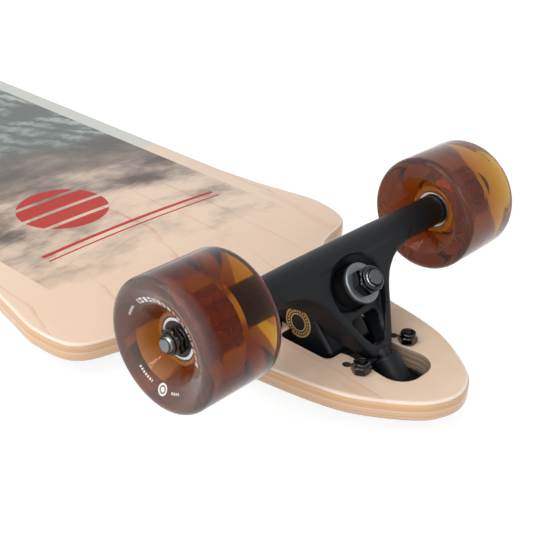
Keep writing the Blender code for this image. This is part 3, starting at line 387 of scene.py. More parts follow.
def deck_print(tree, finish, parts, place, wood):
    """Generic print on the platform: pale bands, drifting ripples and a striped red disc."""
    x, y = parts[0], parts[1]
    along = add(tree, "Math", (x,), operation="ABSOLUTE")
    across = add(tree, "Math", (y,), operation="ABSOLUTE")
    ground, drift = drifting_ripples(tree, x, place)
    fade = add(tree, "MapRange", (drift, 0.400, 0.285, 0.0, 0.94), interpolation_type="SMOOTHSTEP")
    # The print ends in drifts before the tail as well
    behind = joined(tree, "SUBTRACT", (drift, x, x))
    behind = add(tree, "MapRange", (behind, 0.430, 0.330), interpolation_type="SMOOTHSTEP")
    panel = add(tree, "Math", (across, PRINT_HALF_WIDTH), operation="LESS_THAN")
    fade = joined(tree, "MULTIPLY", (fade, behind, panel))
    # A pale margin runs along both edges and stops square
    margin = add(tree, "Math", (along, MARGIN_HALF_LENGTH), operation="LESS_THAN")
    margin = add(tree, "Math", (margin, 0.85), operation="MULTIPLY")
    red = red_shapes(tree, x, y, across)
    colour = add(tree, "MixRGB", (margin, wood, "#CDD5CE"))
    colour = add(tree, "MixRGB", (fade, colour, ground))
    colour = add(tree, "MixRGB", (red, colour, (*finish.print_red, 1.0)))
    return colour, joined(tree, "MAXIMUM", (fade, red, margin))


def grip_sheet():
    """Silicon carbide grit on a plastic sheet: black, rough, with a few bright grains."""
    material, tree, shader = new_material("silicon_carbide_grip")
    place = add(tree, "TexCoord", out="Object")
    # Grit of 0.2 mm, drawn at 0.7 mm so that it shows
    grains = add(tree, "TexVoronoi", {"Vector": place, "Scale": 1400.0}, out="Distance")
    ramp = add(tree, "ValToRGB", (grains,), out=None)
    set_ramp(ramp, [(0.0, "#3A3B3D"), (0.35, "#141516"), (1.0, "#0C0D0D")])
    bump = add(tree, "Bump", {"Height": grains, "Strength": 0.9, "Distance": 0.0003}, invert=True)
    feed(tree, shader, {"Base Color": ramp.outputs[0], "Roughness": 0.85, "Normal": bump})
    return material


def painted_aluminium(name, finish, with_mark):
    """Cast aluminium under satin black paint: soft sheen and a faint orange peel."""
    material, tree, shader = new_material(name)
    place = add(tree, "TexCoord", out="Object")
    # Orange peel of a sprayed coat, about 1.2 mm from crest to crest
    peel = add(tree, "TexNoise", {"Vector": place, "Scale": 800.0, "Detail": 2.0})
    patches = add(tree, "TexNoise", {"Vector": place, "Scale": 45.0, "Detail": 3.0})
    colour = add(tree, "MixRGB", (patches, (*finish.paint, 1.0), "#15171B"))
    if with_mark:
        colour = add(tree, "MixRGB", (block_mark(tree, place), colour, (*finish.gold, 1.0)))
    feed(tree, shader, {
        "Base Color": colour, "Specular IOR Level": 0.21,
        "Roughness": add(tree, "MapRange", (patches, 0.0, 1.0, 0.36, 0.48)),
        "Normal": add(tree, "Bump", {"Height": peel, "Strength": 0.12, "Distance": 0.0001})})
    return material


# Middle of the mark from a truck's outer bolts and from its mounting face
MARK_X = -0.0475
MARK_Z = 0.0082


def block_mark(tree, place):
    """Mask of a plain printed mark on a kingpin block: rings and a run of ticks."""
    parts = add(tree, "SeparateXYZ", (place,), out=None).outputs
    along = add(tree, "Math", (parts[0],), operation="ABSOLUTE")
    mark_x = add(tree, "Math", (along, OUTER_BOLTS + MARK_X), operation="SUBTRACT")
    mark_z = add(tree, "Math", (parts[2], DECK_FACE + MARK_Z), operation="SUBTRACT")
    radius = offset_length(tree, mark_x, mark_z)
    outer, inner, band = [
        add(tree, "Math", (radius, middle, half), operation="COMPARE")
        for middle, half in ((0.0086, 0.0005), (0.0052, 0.0004), (0.0069, 0.0007))]
    angle = add(tree, "Math", (mark_z, mark_x), operation="ARCTAN2")
    tick = add(tree, "Math", (angle, pi / 24), operation="PINGPONG")
    tick = add(tree, "Math", (tick, pi / 60), operation="GREATER_THAN")
    tick = add(tree, "Math", (tick, band), operation="MULTIPLY")
    mask = joined(tree, "MAXIMUM", (outer, inner, tick))
    across = add(tree, "Math", (parts[1],), operation="ABSOLUTE")
    on_sides = add(tree, "Math", (across, 0.0165), operation="GREATER_THAN")
    return add(tree, "Math", (mask, on_sides), operation="MULTIPLY")


def steel(name, tones, metallic, roughness, coat=0.0):
    """Turned or forged steel: faint rings round its own axis and patchy roughness."""
    material, tree, shader = new_material(name)
    place = add(tree, "Attribute", out="Vector", attribute_name="own_place")
    parts = add(tree, "SeparateXYZ", (place,), out=None).outputs
    radius = offset_length(tree, parts[0], parts[1])
    # Tool marks 0.15 mm apart, drawn at 0.5 mm so that they show
    ring_place = add(tree, "CombineXYZ", (radius, parts[2]))
    marks = add(tree, "TexNoise", {"Vector": ring_place, "Scale": 2000.0, "Detail": 1.0})
    patches = add(tree, "TexNoise", {"Vector": place, "Scale": 260.0, "Detail": 3.0})
    rough = add(tree, "MapRange", (marks, 0.0, 1.0, roughness - 0.06, roughness + 0.08))
    feed(tree, shader, {
        "Base Color": add(tree, "MixRGB", (patches, *tones)), "Metallic": metallic,
        "Roughness": rough, "Coat Weight": coat, "Coat Roughness": 0.08,
        "Normal": add(tree, "Bump", {"Height": marks, "Strength": 0.10, "Distance": 0.0001})})
    return material


def moulded_urethane(name, colour, roughness):
    """Black moulded urethane or rubber: soft gloss over a fine satin grain."""
    material, tree, shader = new_material(name)
    place = add(tree, "TexCoord", out="Object")
    # Grain of the mould, some 0.1 mm, drawn at 0.7 mm so that it shows
    grain = add(tree, "TexNoise", {"Vector": place, "Scale": 1500.0, "Detail": 2.0})
    patches = add(tree, "TexNoise", {"Vector": place, "Scale": 120.0, "Detail": 2.0})
    rough = add(tree, "MapRange", (grain, 0.0, 1.0, roughness - 0.05, roughness + 0.08))
    tone = add(tree, "MixRGB", (patches, colour, "#1C1B1B"))
    feed(tree, shader, {"Base Color": tone, "Roughness": rough})
    return material


def cast_urethane(finish):
    """Clear amber urethane, cast and lathe-turned: deep colour, faint haze, white print."""
    material, tree, shader = new_material("clear_cast_urethane")
    place = add(tree, "Attribute", out="Vector", attribute_name="own_place")
    parts = add(tree, "SeparateXYZ", (place,), out=None).outputs
    print_mask = wheel_print(tree, parts)
    # Haze in clouds some 17 mm across
    haze = add(tree, "TexNoise", {"Vector": place, "Scale": 60.0, "Detail": 3.0})
    base = add(tree, "MixRGB", (haze, "#F1DFD6", "#E2CAC2"))
    base = add(tree, "MixRGB", (print_mask, base, "#F4F2EE"))
    # The turned faces are cloudier than the tread, and the outer one most
    cloudy = add(tree, "MapRange", (parts[2], -0.001, 0.001, 0.95, 0.88))
    height = add(tree, "Math", (parts[2],), operation="ABSOLUTE")
    on_face = add(tree, "MapRange", (height, 0.0150, 0.0235, 1.0, cloudy))
    clouding = add(tree, "Math", (haze, 0.012), operation="MULTIPLY")
    clear = add(tree, "Math", (on_face, clouding), operation="SUBTRACT")
    feed(tree, shader, {
        "Base Color": base, "IOR": 1.50, "Specular Tint": (0.30, 0.18, 0.15, 1.0),
        "Roughness": add(tree, "MapRange", (haze, 0.0, 1.0, 0.03, 0.10)),
        "Transmission Weight": add(tree, "MixRGB", (print_mask, clear, (0.2, 0.2, 0.2, 1.0)))})
    absorb = add(tree, "VolumeAbsorption", {"Color": (*finish.urethane, 1.0), "Density": 270.0})
    feed(tree, tree.nodes["Material Output"], {"Volume": absorb})
    return material


def print_blocks(tree, radius, angle):
    """Mask of blocks 2.2 mm wide, one every 3.3 mm over the upper arc, some of them split."""
    turn = add(tree, "Math", (angle, radians(8.0)), operation="DIVIDE")
    number = add(tree, "Math", (turn,), operation="FLOOR")
    place_in = add(tree, "Math", (turn,), operation="FRACT")
    block = add(tree, "Math", (place_in, 0.5, 0.34), operation="COMPARE")
    chance = add(tree, "TexWhiteNoise", {"W": number}, out="Value", noise_dimensions="1D")
    ring_slit = add(tree, "Math", (radius, BLOCK_RADIUS, 0.0003), operation="COMPARE")
    cross_slit = add(tree, "Math", (place_in, 0.5, 0.09), operation="COMPARE")
    first = add(tree, "Math", (chance, 0.62), operation="GREATER_THAN")
    second = add(tree, "Math", (chance, 0.30), operation="LESS_THAN")
    gap = joined(tree, "MAXIMUM", (
        add(tree, "Math", (ring_slit, first), operation="MULTIPLY"),
        add(tree, "Math", (cross_slit, second), operation="MULTIPLY")))
    block = add(tree, "Math", (block, gap), operation="SUBTRACT", use_clamp=True)
    band = add(tree, "Math", (radius, BLOCK_RADIUS, 0.0014), operation="COMPARE")
    span = add(tree, "Math", (angle, radians(66), radians(65)), operation="COMPARE")
    return joined(tree, "MULTIPLY", (block, band, span))


def print_dots(tree, radius, angle):
    """Mask of runs of small dots beside the disc and ahead of the blocks."""
    dot = add(tree, "Math", (angle, radians(1.9)), operation="PINGPONG")
    dot = add(tree, "Math", (dot, radians(0.9)), operation="GREATER_THAN")
    band = add(tree, "Math", (radius, DOT_RADIUS, 0.0006), operation="COMPARE")
    spans = joined(tree, "MAXIMUM", [
        add(tree, "Math", (angle, radians(middle), radians(half)), operation="COMPARE")
        for middle, half in ((152, 9), (-121, 13), (-68, 8))])
    return joined(tree, "MULTIPLY", (dot, band, spans))


def wheel_print(tree, parts):
    """Mask of a generic white print on a wheel's outer face: blocks, dots and a ringed disc."""
    flat = add(tree, "CombineXYZ", (parts[0], parts[1]))
    radius = add(tree, "VectorMath", (flat,), out="Value", operation="LENGTH")
    angle = add(tree, "Math", (parts[1], parts[0]), operation="ARCTAN2")
    # A plain disc in a ring, 5.8 mm across
    offset = add(tree, "VectorMath", (flat, (0.0, -DOT_RADIUS, 0.0)), operation="SUBTRACT")
    reach = add(tree, "VectorMath", (offset,), out="Value", operation="LENGTH")
    disc = add(tree, "Math", (reach, 0.0013), operation="LESS_THAN")
    ring = add(tree, "Math", (reach, 0.0024, 0.0005), operation="COMPARE")
    mask = joined(tree, "MAXIMUM", (
        print_blocks(tree, radius, angle), print_dots(tree, radius, angle), disc, ring))
    outer = add(tree, "Math", (parts[2], 0.0150), operation="GREATER_THAN")
    return add(tree, "Math", (mask, outer), operation="MULTIPLY")


def core_plastic():
    """Moulded clear amber core: cloudier than the tyre, and paler round its slots."""
    material, tree, shader = new_material("moulded_amber_core")
    place = add(tree, "Attribute", out="Vector", attribute_name="own_place")
    # Flow marks of the moulding, some 9 mm across
    flow = add(tree, "TexNoise", {"Vector": place, "Scale": 110.0, "Detail": 3.0})
    parts = add(tree, "SeparateXYZ", (place,), out=None).outputs
    radius = offset_length(tree, parts[0], parts[1])
    hub = add(tree, "MixRGB", (flow, "#D98A36", "#B0651F"))
    band = add(tree, "MapRange", (radius, 0.0138, 0.0146))
    feed(tree, shader, {
        "Base Color": add(tree, "MixRGB", (band, hub, "#EDAF62")), "IOR": 1.50,
        "Roughness": add(tree, "MapRange", (flow, 0.0, 1.0, 0.22, 0.34)),
        "Transmission Weight": add(tree, "MapRange", (band, 0.0, 1.0, 0.55, 0.38))})
    return material


MATERIALS = {}


def finishes(context):
    """Make the materials once, from the colours of the panel."""
    if MATERIALS:
        return MATERIALS
    finish = context.scene.longboard_finish
    MATERIALS.update({
        "maple": maple_ply(finish),
        "grip": grip_sheet(),
        "hanger": painted_aluminium("satin_painted_casting", finish, False),
        "baseplate": painted_aluminium("satin_painted_casting_marked", finish, True),
        "black_steel": steel("black_oxide_steel", ("#242527", "#18191B"), 1.0, 0.24, 0.6),
        "thread": steel("worn_steel_thread", ("#C3C6C9", "#85898D"), 1.0, 0.22),
        "bolt_end": steel("dull_bolt_end", ("#66696C", "#484B4E"), 1.0, 0.30),
        "washer": steel("satin_zinc_washer", ("#7C7F83", "#66696D"), 0.9, 0.40),
        "steel": steel("ground_axle_steel", ("#8C9094", "#6D7175"), 1.0, 0.28),
        "race": steel("polished_bearing_steel", ("#D8DADB", "#B9BCBE"), 1.0, 0.16),
        "bushing": moulded_urethane("black_bushing_urethane", "#131313", 0.40),
        "shield": moulded_urethane("rubber_bearing_shield", "#1B1E20", 0.45),
        "tyre": cast_urethane(finish),
        "core": core_plastic(),
    })
    return MATERIALS


MERGE_DISTANCE = 0.000002


def merged(bm, distance=MERGE_DISTANCE):
    """Merge the points of a bmesh that meet, and point its faces outwards."""
    bmesh.ops.remove_doubles(bm, verts=bm.verts, dist=distance)
    bmesh.ops.recalc_face_normals(bm, faces=bm.faces)
    return bm


def take_in(bm, part):
    """Join another bmesh to one and drop it."""
    mesh = bpy.data.meshes.new("part")
    part.to_mesh(mesh)
    part.free()
    bm.from_mesh(mesh)
    bpy.data.meshes.remove(mesh)


def rounded(points, radii, steps=5):
    """Round the corners of a closed outline, each by its own radius."""
    outline = []
    for index, point in enumerate(points):
        corner = Vector(point)
        before = (Vector(points[index - 1]) - corner).normalized()
        after = (Vector(points[(index + 1) % len(points)]) - corner).normalized()
        half = before.angle(after) / 2
        if radii[index] <= 0 or abs(half - pi / 2) < 0.02:
            outline.append(corner)
            continue
        reach = radii[index] / (sin(half) / cos(half))
        centre = corner + (before + after).normalized() * (radii[index] / sin(half))
        start = corner + before * reach - centre
        turn = start.angle_signed(corner + after * reach - centre)
        for step in range(steps + 1):
            outline.append(centre + Matrix.Rotation(-turn * step / steps, 2) @ start)
    return outline


def spun(profile, steps, closed=True):
    """Spin a profile of (radius, height) pairs once round Z."""
    bm = bmesh.new()
    verts = [bm.verts.new((point[0], 0.0, point[1])) for point in profile]
    pairs = list(zip(verts, verts[1:])) + ([(verts[-1], verts[0])] if closed else [])
    edges = [bm.edges.new(pair) for pair in pairs]
    bmesh.ops.spin(
        bm, geom=verts + edges, cent=(0, 0, 0), axis=(0, 0, 1), dvec=(0, 0, 0),
        angle=2 * pi, steps=steps, use_merge=True, use_normal_flip=False, use_duplicate=False)
    return merged(bm)


def radius_of(point):
    """Distance of a point from the Z axis."""
    return sqrt(point.x ** 2 + point.y ** 2)


def set_radius(point, radius):
    """Move a point straight in or out until it is so far from the Z axis."""
    factor = radius / radius_of(point)
    point.x *= factor
    point.y *= factor


def hexagon_radius(point, flats):
    """Distance from the Z axis to a hexagon's side, in the direction of a point."""
    turn = (atan2(point.y, point.x) + pi / 6) % (pi / 3) - pi / 6
    return flats / 2 / cos(turn)


def hexed(bm, flats, low, high):
    """Cut a spun bar down to a hexagon between two heights, which leaves its chamfers round."""
    for vert in bm.verts:
        if low <= vert.co.z <= high and radius_of(vert.co) > 0:
            limit = hexagon_radius(vert.co, flats)
            if radius_of(vert.co) > limit:
                set_radius(vert.co, limit)
    return bm


def banded(loops, closed_ends):
    """Skin between loops of points: a grid wrapped round, with its seam merged."""
    bm = bmesh.new()
    count = len(loops[0])
    rows = len(loops) - 1
    bmesh.ops.create_grid(bm, x_segments=count, y_segments=rows, size=1.0)
    for vert in bm.verts:
        index = round((vert.co.x + 1) / 2 * count) % count
        row = round((vert.co.y + 1) / 2 * rows)
        vert.co = loops[row][index]
    bmesh.ops.remove_doubles(bm, verts=bm.verts, dist=MERGE_DISTANCE)
    if closed_ends:
        bmesh.ops.holes_fill(bm, edges=[edge for edge in bm.edges if edge.is_boundary], sides=0)
    bmesh.ops.recalc_face_normals(bm, faces=bm.faces)
    return bm


def link_piece(name, bm, matrix, materials, sharp=35.0):
    """Make a bmesh a smooth object whose place is in its mesh, with its own axes kept."""
    mesh = bpy.data.meshes.new(name)
    bm.to_mesh(mesh)
    bm.free()
    own = mesh.attributes.new("own_place", "FLOAT_VECTOR", "POINT")
    for vert in mesh.vertices:
        own.data[vert.index].vector = vert.co
    if matrix is not None:
        mesh.transform(matrix)
    for material in materials:
        mesh.materials.append(material)
    mesh.shade_smooth()
    mesh.set_sharp_from_angle(angle=radians(sharp))
    obj = bpy.data.objects.new(name, mesh)
    bpy.context.scene.collection.objects.link(obj)
    return obj


def stand_for(obj, node, body):
    """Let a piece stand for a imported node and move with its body."""
    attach(obj, body)
    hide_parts(node)


def settle(obj):
    """Keep what the modifiers make as the piece's own mesh."""
    depsgraph = bpy.context.evaluated_depsgraph_get()
    mesh = bpy.data.meshes.new_from_object(obj.evaluated_get(depsgraph))
    old = obj.data
    obj.modifiers.clear()
    obj.data = mesh
    bpy.data.meshes.remove(old)


def carve(obj, cutters):
    """Cut shapes out of a piece with exact Booleans and drop them afterwards."""
    for index, cutter in enumerate(cutters):
        modifier = obj.modifiers.new(f"cut_{index}", "BOOLEAN")
        modifier.operation = "DIFFERENCE"
        modifier.solver = "EXACT"
        modifier.object = cutter
    settle(obj)
    for cutter in cutters:
        mesh = cutter.data
        bpy.data.objects.remove(cutter, do_unlink=True)
        bpy.data.meshes.remove(mesh)


def smooth_line(points, per_span):
    """Smooth curve that runs through all points, and square to the middle line at first."""
    mirrored = Vector((points[1].x, -points[1].y))
    ends = [mirrored] + points + [points[-1] * 2 - points[-2]]
    line = []
    for index in range(1, len(ends) - 2):
        before, start, end, after = ends[index - 1:index + 3]
        for step in range(per_span):
            t = step / per_span
            line.append(0.5 * (
                start * 2 + (end - before) * t
                + (before * 2 - start * 5 + end * 4 - after) * t ** 2
                + (start * 3 - before - end * 3 + after) * t ** 3))
    line.append(points[-1].copy())
    return line


def deck_height(x, across):
    """Height of the deck's underside above its mounting face; across runs from -1 to 1."""
    inboard = OUTER_BOLTS - abs(x)
    share = min(max((inboard - RISE_START) / (RISE_END - RISE_START), 0.0), 1.0)
    ease = share * share * (3 - 2 * share)
    return ease * (PLATFORM_RISE - CONCAVE_DEPTH * across * across)


def deck_line(inset):
    """Right half of the deck's outline from front tip to rear tip, moved in by an inset."""
    tip = DECK_LENGTH / 2
    flare = FLARE_HALF_WIDTH
    waist = PLATFORM_HALF_WIDTH
    from_bolts = [
        (0.0265, 0.0320), (0.0085, 0.0425), (-0.0120, 0.0486), (-0.0400, 0.0535),
        (-0.0700, 0.0578), (-0.0940, 0.0650), (-0.1035, 0.0715), (-0.1098, 0.0800),
        (-0.1138, 0.0910), (-0.1161, 0.1015), (-0.1193, 0.1096), (-0.1252, 0.1162),
        (-0.1340, flare - 0.0018), (-0.1450, flare - 0.0001), (-0.1570, flare),
        (-0.1800, waist + 0.0070), (-0.2020, waist + 0.0034), (-0.2270, waist + 0.0011),
        (-0.2600, waist)]
    points = [(tip, 0.0), (tip - 0.0024, 0.0106), (tip - 0.0086, 0.0206)]
    points += [(OUTER_BOLTS + along, half) for along, half in from_bolts] + [(0.0, waist)]
    half = smooth_line([Vector(point) for point in points], 6)
    line = half + [Vector((-point.x, point.y)) for point in reversed(half[:-1])]
    moved = []
    for index, point in enumerate(line):
        before = line[index - 1] if index else Vector((point.x, -line[1].y))
        after = line[index + 1] if index + 1 < len(line) else Vector((point.x, -before.y))
        along = (after - before).normalized()
        moved.append(point - Vector((along.y, -along.x)) * inset)
    return moved


def deck_shell(inset, lift, thickness, radius, steps, rows):
    """Closed sheet that follows the deck: two faces and an edge rounded by a radius."""
    rim = deck_line(inset + radius)
    outer = deck_line(inset)
    bm = bmesh.new()
    for level, flip in ((lift, False), (lift - thickness, True)):
        sheet = bmesh.new()
        bmesh.ops.create_grid(sheet, x_segments=len(rim) - 1, y_segments=rows, size=1.0)
        for vert in sheet.verts:
            station = rim[round((vert.co.x + 1) / 2 * (len(rim) - 1))]
            across = sin(vert.co.y * pi / 2)
            vert.co = (
                station.x, max(station.y, 0.0) * across,
                DECK_FACE + level + deck_height(station.x, across))
        if flip:
            bmesh.ops.reverse_faces(sheet, faces=sheet.faces)
        take_in(bm, sheet)
    # Both sides of the board, from the rim of the faces out to the edge and round to the other
    sides = [(start, end, 1.0) for start, end in zip(rim, outer)]
    sides += [(start, end, -1.0) for start, end, _ in reversed(sides[1:-1])]
    turns = [step / steps * pi / 2 for step in range(steps + 1)]
    section = [(sin(turn), lift - (1 - cos(turn)) * radius) for turn in turns]
    section += [(share, 2 * lift - thickness - level) for share, level in reversed(section)]
    loops = []
    for share, level in section:
        loops.append([
            Vector((
                start.x + (end.x - start.x) * share,
                side * (max(start.y, 0.0) + (end.y - max(start.y, 0.0)) * share),
                DECK_FACE + level + deck_height(start.x, 1.0)))
            for start, end, side in sides])
    take_in(bm, banded(loops, False))
    return merged(bm, 0.00001)


def opening_outline():
    """Outline of the opening under a truck, wide at the waist and narrow at the bolts."""
    neck = 0.0125
    waist = 0.0244
    lobe = 0.0040
    right = [
        (0.0245, neck + 0.0042, 0.0120), (-0.0145, neck, 0.012), (-0.0195, neck + 0.0012, lobe / 2),
        (-0.0195, waist, lobe), (-0.0545, waist, lobe), (-0.0545, neck + 0.0012, lobe / 2),
        (-0.0595, neck, 0.012), (-0.0900, neck, 0.0100)]
    left = [(x, -y, radius) for x, y, radius in reversed(right)]
    corners = [(x, y) for x, y, _ in right + left]
    return rounded(corners, [radius for _, _, radius in right + left], 8)


def opening_cutter(end, top, bottom):
    """Cutter for a truck's opening, flared a little where it breaks the deck's faces."""
    outline = opening_outline()
    outward = []
    for index in range(len(outline)):
        along = outline[(index + 1) % len(outline)] - outline[index - 1]
        outward.append(Vector((along.y, -along.x)).normalized())
    flare = 0.0007
    steps = [
        (top + 0.02, flare), (top, flare), (top - flare * 0.3, flare * 0.3),
        (top - flare, 0.0), (bottom + flare, 0.0), (bottom, flare), (bottom - 0.02, flare)]
    loops = [
        [Vector((point.x + normal.x * grow, point.y + normal.y * grow, level))
         for point, normal in zip(outline, outward)] for level, grow in steps]
    return link_piece("opening_cutter_" + end, banded(loops, True), truck_matrix(end), [])


def hole_cutters(end, spare, top, bottom):
    """Cutters for a truck's bolt holes, with the unused second row where asked."""
    holes = [(x, y, BOLT_HOLE_RADIUS) for x, y in BOLT_PLACES.values()]
    if spare:
        holes += [(-SPARE_ALONG, way * BOLT_HALF, SPARE_HOLE_RADIUS) for way in (-1, 1)]
    cutters = []
    for x, y, hole in holes:
        profile = [
            (0.0, top + 0.02), (hole + 0.0003, top + 0.02), (hole + 0.0003, top),
            (hole, top - 0.0003), (hole, bottom - 0.02), (0.0, bottom - 0.02)]
        matrix = truck_matrix(end) @ Matrix.Translation((x, y, 0))
        cutters.append(link_piece("hole_cutter", spun(profile, 24, False), matrix, []))
    return cutters


def pierce(sheet, spare, top, bottom):
    """Cut the openings and bolt holes of both trucks through a sheet."""
    cutters = []
    for end in ENDS:
        cutters.append(opening_cutter(end, top, bottom))
        cutters += hole_cutters(end, spare, top, bottom)
    carve(sheet, cutters)


class LONGBOARD_OT_deck(bpy.types.Operator):
    """Model the maple deck with its rounded edge, openings and holes"""

    bl_idname = "longboard.deck"
    bl_label = "Deck"

    def execute(self, context):
        radius = context.scene.longboard_sizes.edge_radius
        bm = deck_shell(0.0, 0.0, DECK_THICKNESS, radius, 5, 28)
        deck = link_piece("maple_deck", bm, None, [finishes(context)["maple"]])
        pierce(deck, True, 0.0, -DECK_THICKNESS)
        deck.data.shade_smooth()
        deck.data.set_sharp_from_angle(angle=radians(38))
        stand_for(deck, "deck", "board")
        return {"FINISHED"}


class LONGBOARD_OT_grip(bpy.types.Operator):
    """Model the grip sheet on the deck's riding side"""

    bl_idname = "longboard.grip"
    bl_label = "Grip sheet"

    def execute(self, context):
        lift = -DECK_THICKNESS - CLEARANCE
        bm = deck_shell(GRIP_INSET, lift, GRIP_THICKNESS, 0.0004, 1, 20)
        grip = link_piece("grip_sheet_grit", bm, None, [finishes(context)["grip"]])
        pierce(grip, False, lift + 0.001, lift - GRIP_THICKNESS - 0.001)
        stand_for(grip, "grip_sheet", "board")
        return {"FINISHED"}


SEAM_REPEATS = 70


def seam_weight(end):
    """How much a hanger's point is smoothed further: fully where its web runs into the barrel."""
    inverse = truck_matrix(end).inverted()

    def weight(point):
        place = inverse @ point
        along = abs(place.dot(ALONG_PIVOT) - 0.0500)
        across = abs(abs(place.y) - 0.0500)
        first = min(max((0.0150 - along) / 0.005, 0.0), 1.0)
        second = min(max((0.0180 - across) / 0.006, 0.0), 1.0)
        return first * second

    return weight


def smoothed(obj, repeats, weight=None):
    """Smooth a piece's mesh over and over, by a weight for each point where one is given."""
    smooth = obj.modifiers.new("smooth", "SMOOTH")
    smooth.factor = 0.5
    smooth.iterations = repeats
    if weight is not None:
        group = obj.vertex_groups.new(name="weight")
        for vert in obj.data.vertices:
            share = weight(vert.co)
            if share > 0:
                group.add([vert.index], share, "REPLACE")
        smooth.vertex_group = group.name
    settle(obj)
    obj.vertex_groups.clear()


def softened(node, name, voxel, repeats, material, weight=None):
    """Copy of a packed casting with all its edges softened, as sand or die casting leaves them."""
    bm = bmesh.new()
    bm.from_mesh(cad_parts[node].data)
    obj = link_piece(name, merged(bm), None, [])
    remesh = obj.modifiers.new("remesh", "REMESH")
    remesh.mode = "VOXEL"
    remesh.voxel_size = voxel
    smoothed(obj, repeats)
    if weight is not None:
        smoothed(obj, SEAM_REPEATS, weight)
    obj.data.materials.clear()
    obj.data.materials.append(material)
    obj.data.shade_smooth()
    return obj


class LONGBOARD_OT_baseplates(bpy.types.Operator):
    """Model the two cast baseplates with softened edges"""

    bl_idname = "longboard.baseplates"
    bl_label = "Baseplates"

    def execute(self, context):
        voxel = context.scene.longboard_sizes.casting_voxel
        for end in ENDS:
            node = "baseplate_" + end
            plate = softened(
                node, "cast_baseplate_" + end, voxel, 8, finishes(context)["baseplate"])
            stand_for(plate, node, "board")
        return {"FINISHED"}


class LONGBOARD_OT_hangers(bpy.types.Operator):
    """Model the two cast hangers with softened edges"""

    bl_idname = "longboard.hangers"
    bl_label = "Hangers"

    def execute(self, context):
        voxel = context.scene.longboard_sizes.casting_voxel
        for end in ENDS:
            node = "hanger_" + end
            hanger = softened(
                node, "cast_hanger_" + end, voxel, 16, finishes(context)["hanger"],
                seam_weight(end))
            stand_for(hanger, node, end + "_hanger")
        return {"FINISHED"}


def thread_profile(radius, start, end, pitch, depth):
    """Outer side of a threaded rod, as ridges between two heights."""
    count = max(1, floor((end - start) / pitch))
    points = []
    for index in range(count):
        low = start + index * pitch
        points += [
            (radius, low + pitch * 0.15), (radius, low + pitch * 0.35),
            (radius - depth, low + pitch * 0.75), (radius - depth, low + pitch * 0.90)]
    return points


# Kingpins, with heights from the point where the kingpin crosses the steering axis
KINGPIN_RADIUS = 0.00476
KINGPIN_FLATS = 0.0143
KINGPIN_HEAD = 0.0060
BUSHING_RADIUS = 0.0104
WASHER_RADIUS = 0.0116
RING_FRONT = -0.0030
RING_BACK = -0.0090
ROAD_BUSHING_BASE = RING_FRONT + CLEARANCE
ROAD_BUSHING_TOP = ROAD_BUSHING_BASE + 0.0118
BOARD_BUSHING_TOP = RING_BACK - CLEARANCE
BOARD_BUSHING_BASE = BOARD_BUSHING_TOP - 0.0140
ROAD_WASHER_BASE = ROAD_BUSHING_TOP + CLEARANCE
BOARD_WASHER_BASE = BOARD_BUSHING_BASE - CLEARANCE
WASHER_THICKNESS = 0.0014
NUT_SEAT = ROAD_WASHER_BASE + WASHER_THICKNESS + CLEARANCE
KINGPIN_END = 0.0210
KINGPIN_HEAD_SEAT = -0.0420
STEER_LIMIT = radians(15.0)

# Mounting bolts, with heights from the deck's underside
BOLT_RADIUS = 0.0024
BOLT_STICK_OUT = 0.0067
BOLT_HEAD_TOP = -0.0188
BOLT_SOCKET_FLATS = 0.0032

# Axles, with places from the middle of the board
AXLE_RADIUS = 0.0040
AXLE_END = 0.1235
NUT_PLACE = 0.1153
BEARING_OFFSET = 0.0085

# Room between a thread and its nut
THREAD_GAP = 0.00008


def washer_outline(base, way):
    """Cupped washer: a dished disc whose rolled rim reaches over the bushing's shoulder."""
    bore = KINGPIN_RADIUS + CLEARANCE
    inner = WASHER_RADIUS - 0.0009
    points = [
        (bore, base), (inner, base), (inner, base - 0.0016 * way),
        (WASHER_RADIUS, base - 0.0016 * way), (WASHER_RADIUS, base + WASHER_THICKNESS * way),
        (bore, base + WASHER_THICKNESS * way)]
    return rounded(points, [0.0, 0.0004, 0.0003, 0.0003, 0.0012, 0.0003], 5)


def bushing_outline(washer_end, ring_end):
    """Barrel bushing with a slight waist, soft rims and a bore that widens to the hanger's ring."""
    bore = KINGPIN_RADIUS + CLEARANCE
    swing = abs(ring_end) * sin(STEER_LIMIT)
    waist = BUSHING_RADIUS - 0.0008
    step = (ring_end - washer_end) / 12
    points = [(bore, washer_end), (BUSHING_RADIUS, washer_end)]
    radii = [0.0003, 0.0007]
    for index in range(2, 11):
        share = abs(index / 6 - 1) / (2 / 3)
        points.append((waist + (BUSHING_RADIUS - waist) * share, washer_end + step * index))
        radii.append(0.0)
    points += [(BUSHING_RADIUS, ring_end), (bore + swing, ring_end)]
    radii += [0.0007, 0.0003]
    for index in range(10, 1, -1):
        turned = (index / 12) ** 2 * (3 - 2 * index / 12)
        points.append((bore + swing * turned, washer_end + step * index))
        radii.append(0.0)
    return rounded(points, radii, 4)


# Across the flats, height of the hexagon, whole height, radius of the collar, radius of the bore
KINGPIN_NUT = (KINGPIN_FLATS, 0.0062, 0.0085, 0.0070, KINGPIN_RADIUS + THREAD_GAP)
BOLT_NUT = (0.0095, 0.0040, 0.0063, 0.0044, BOLT_RADIUS + THREAD_GAP)
AXLE_NUT = (0.0127, 0.0046, 0.0064, 0.0055, AXLE_RADIUS + THREAD_GAP)


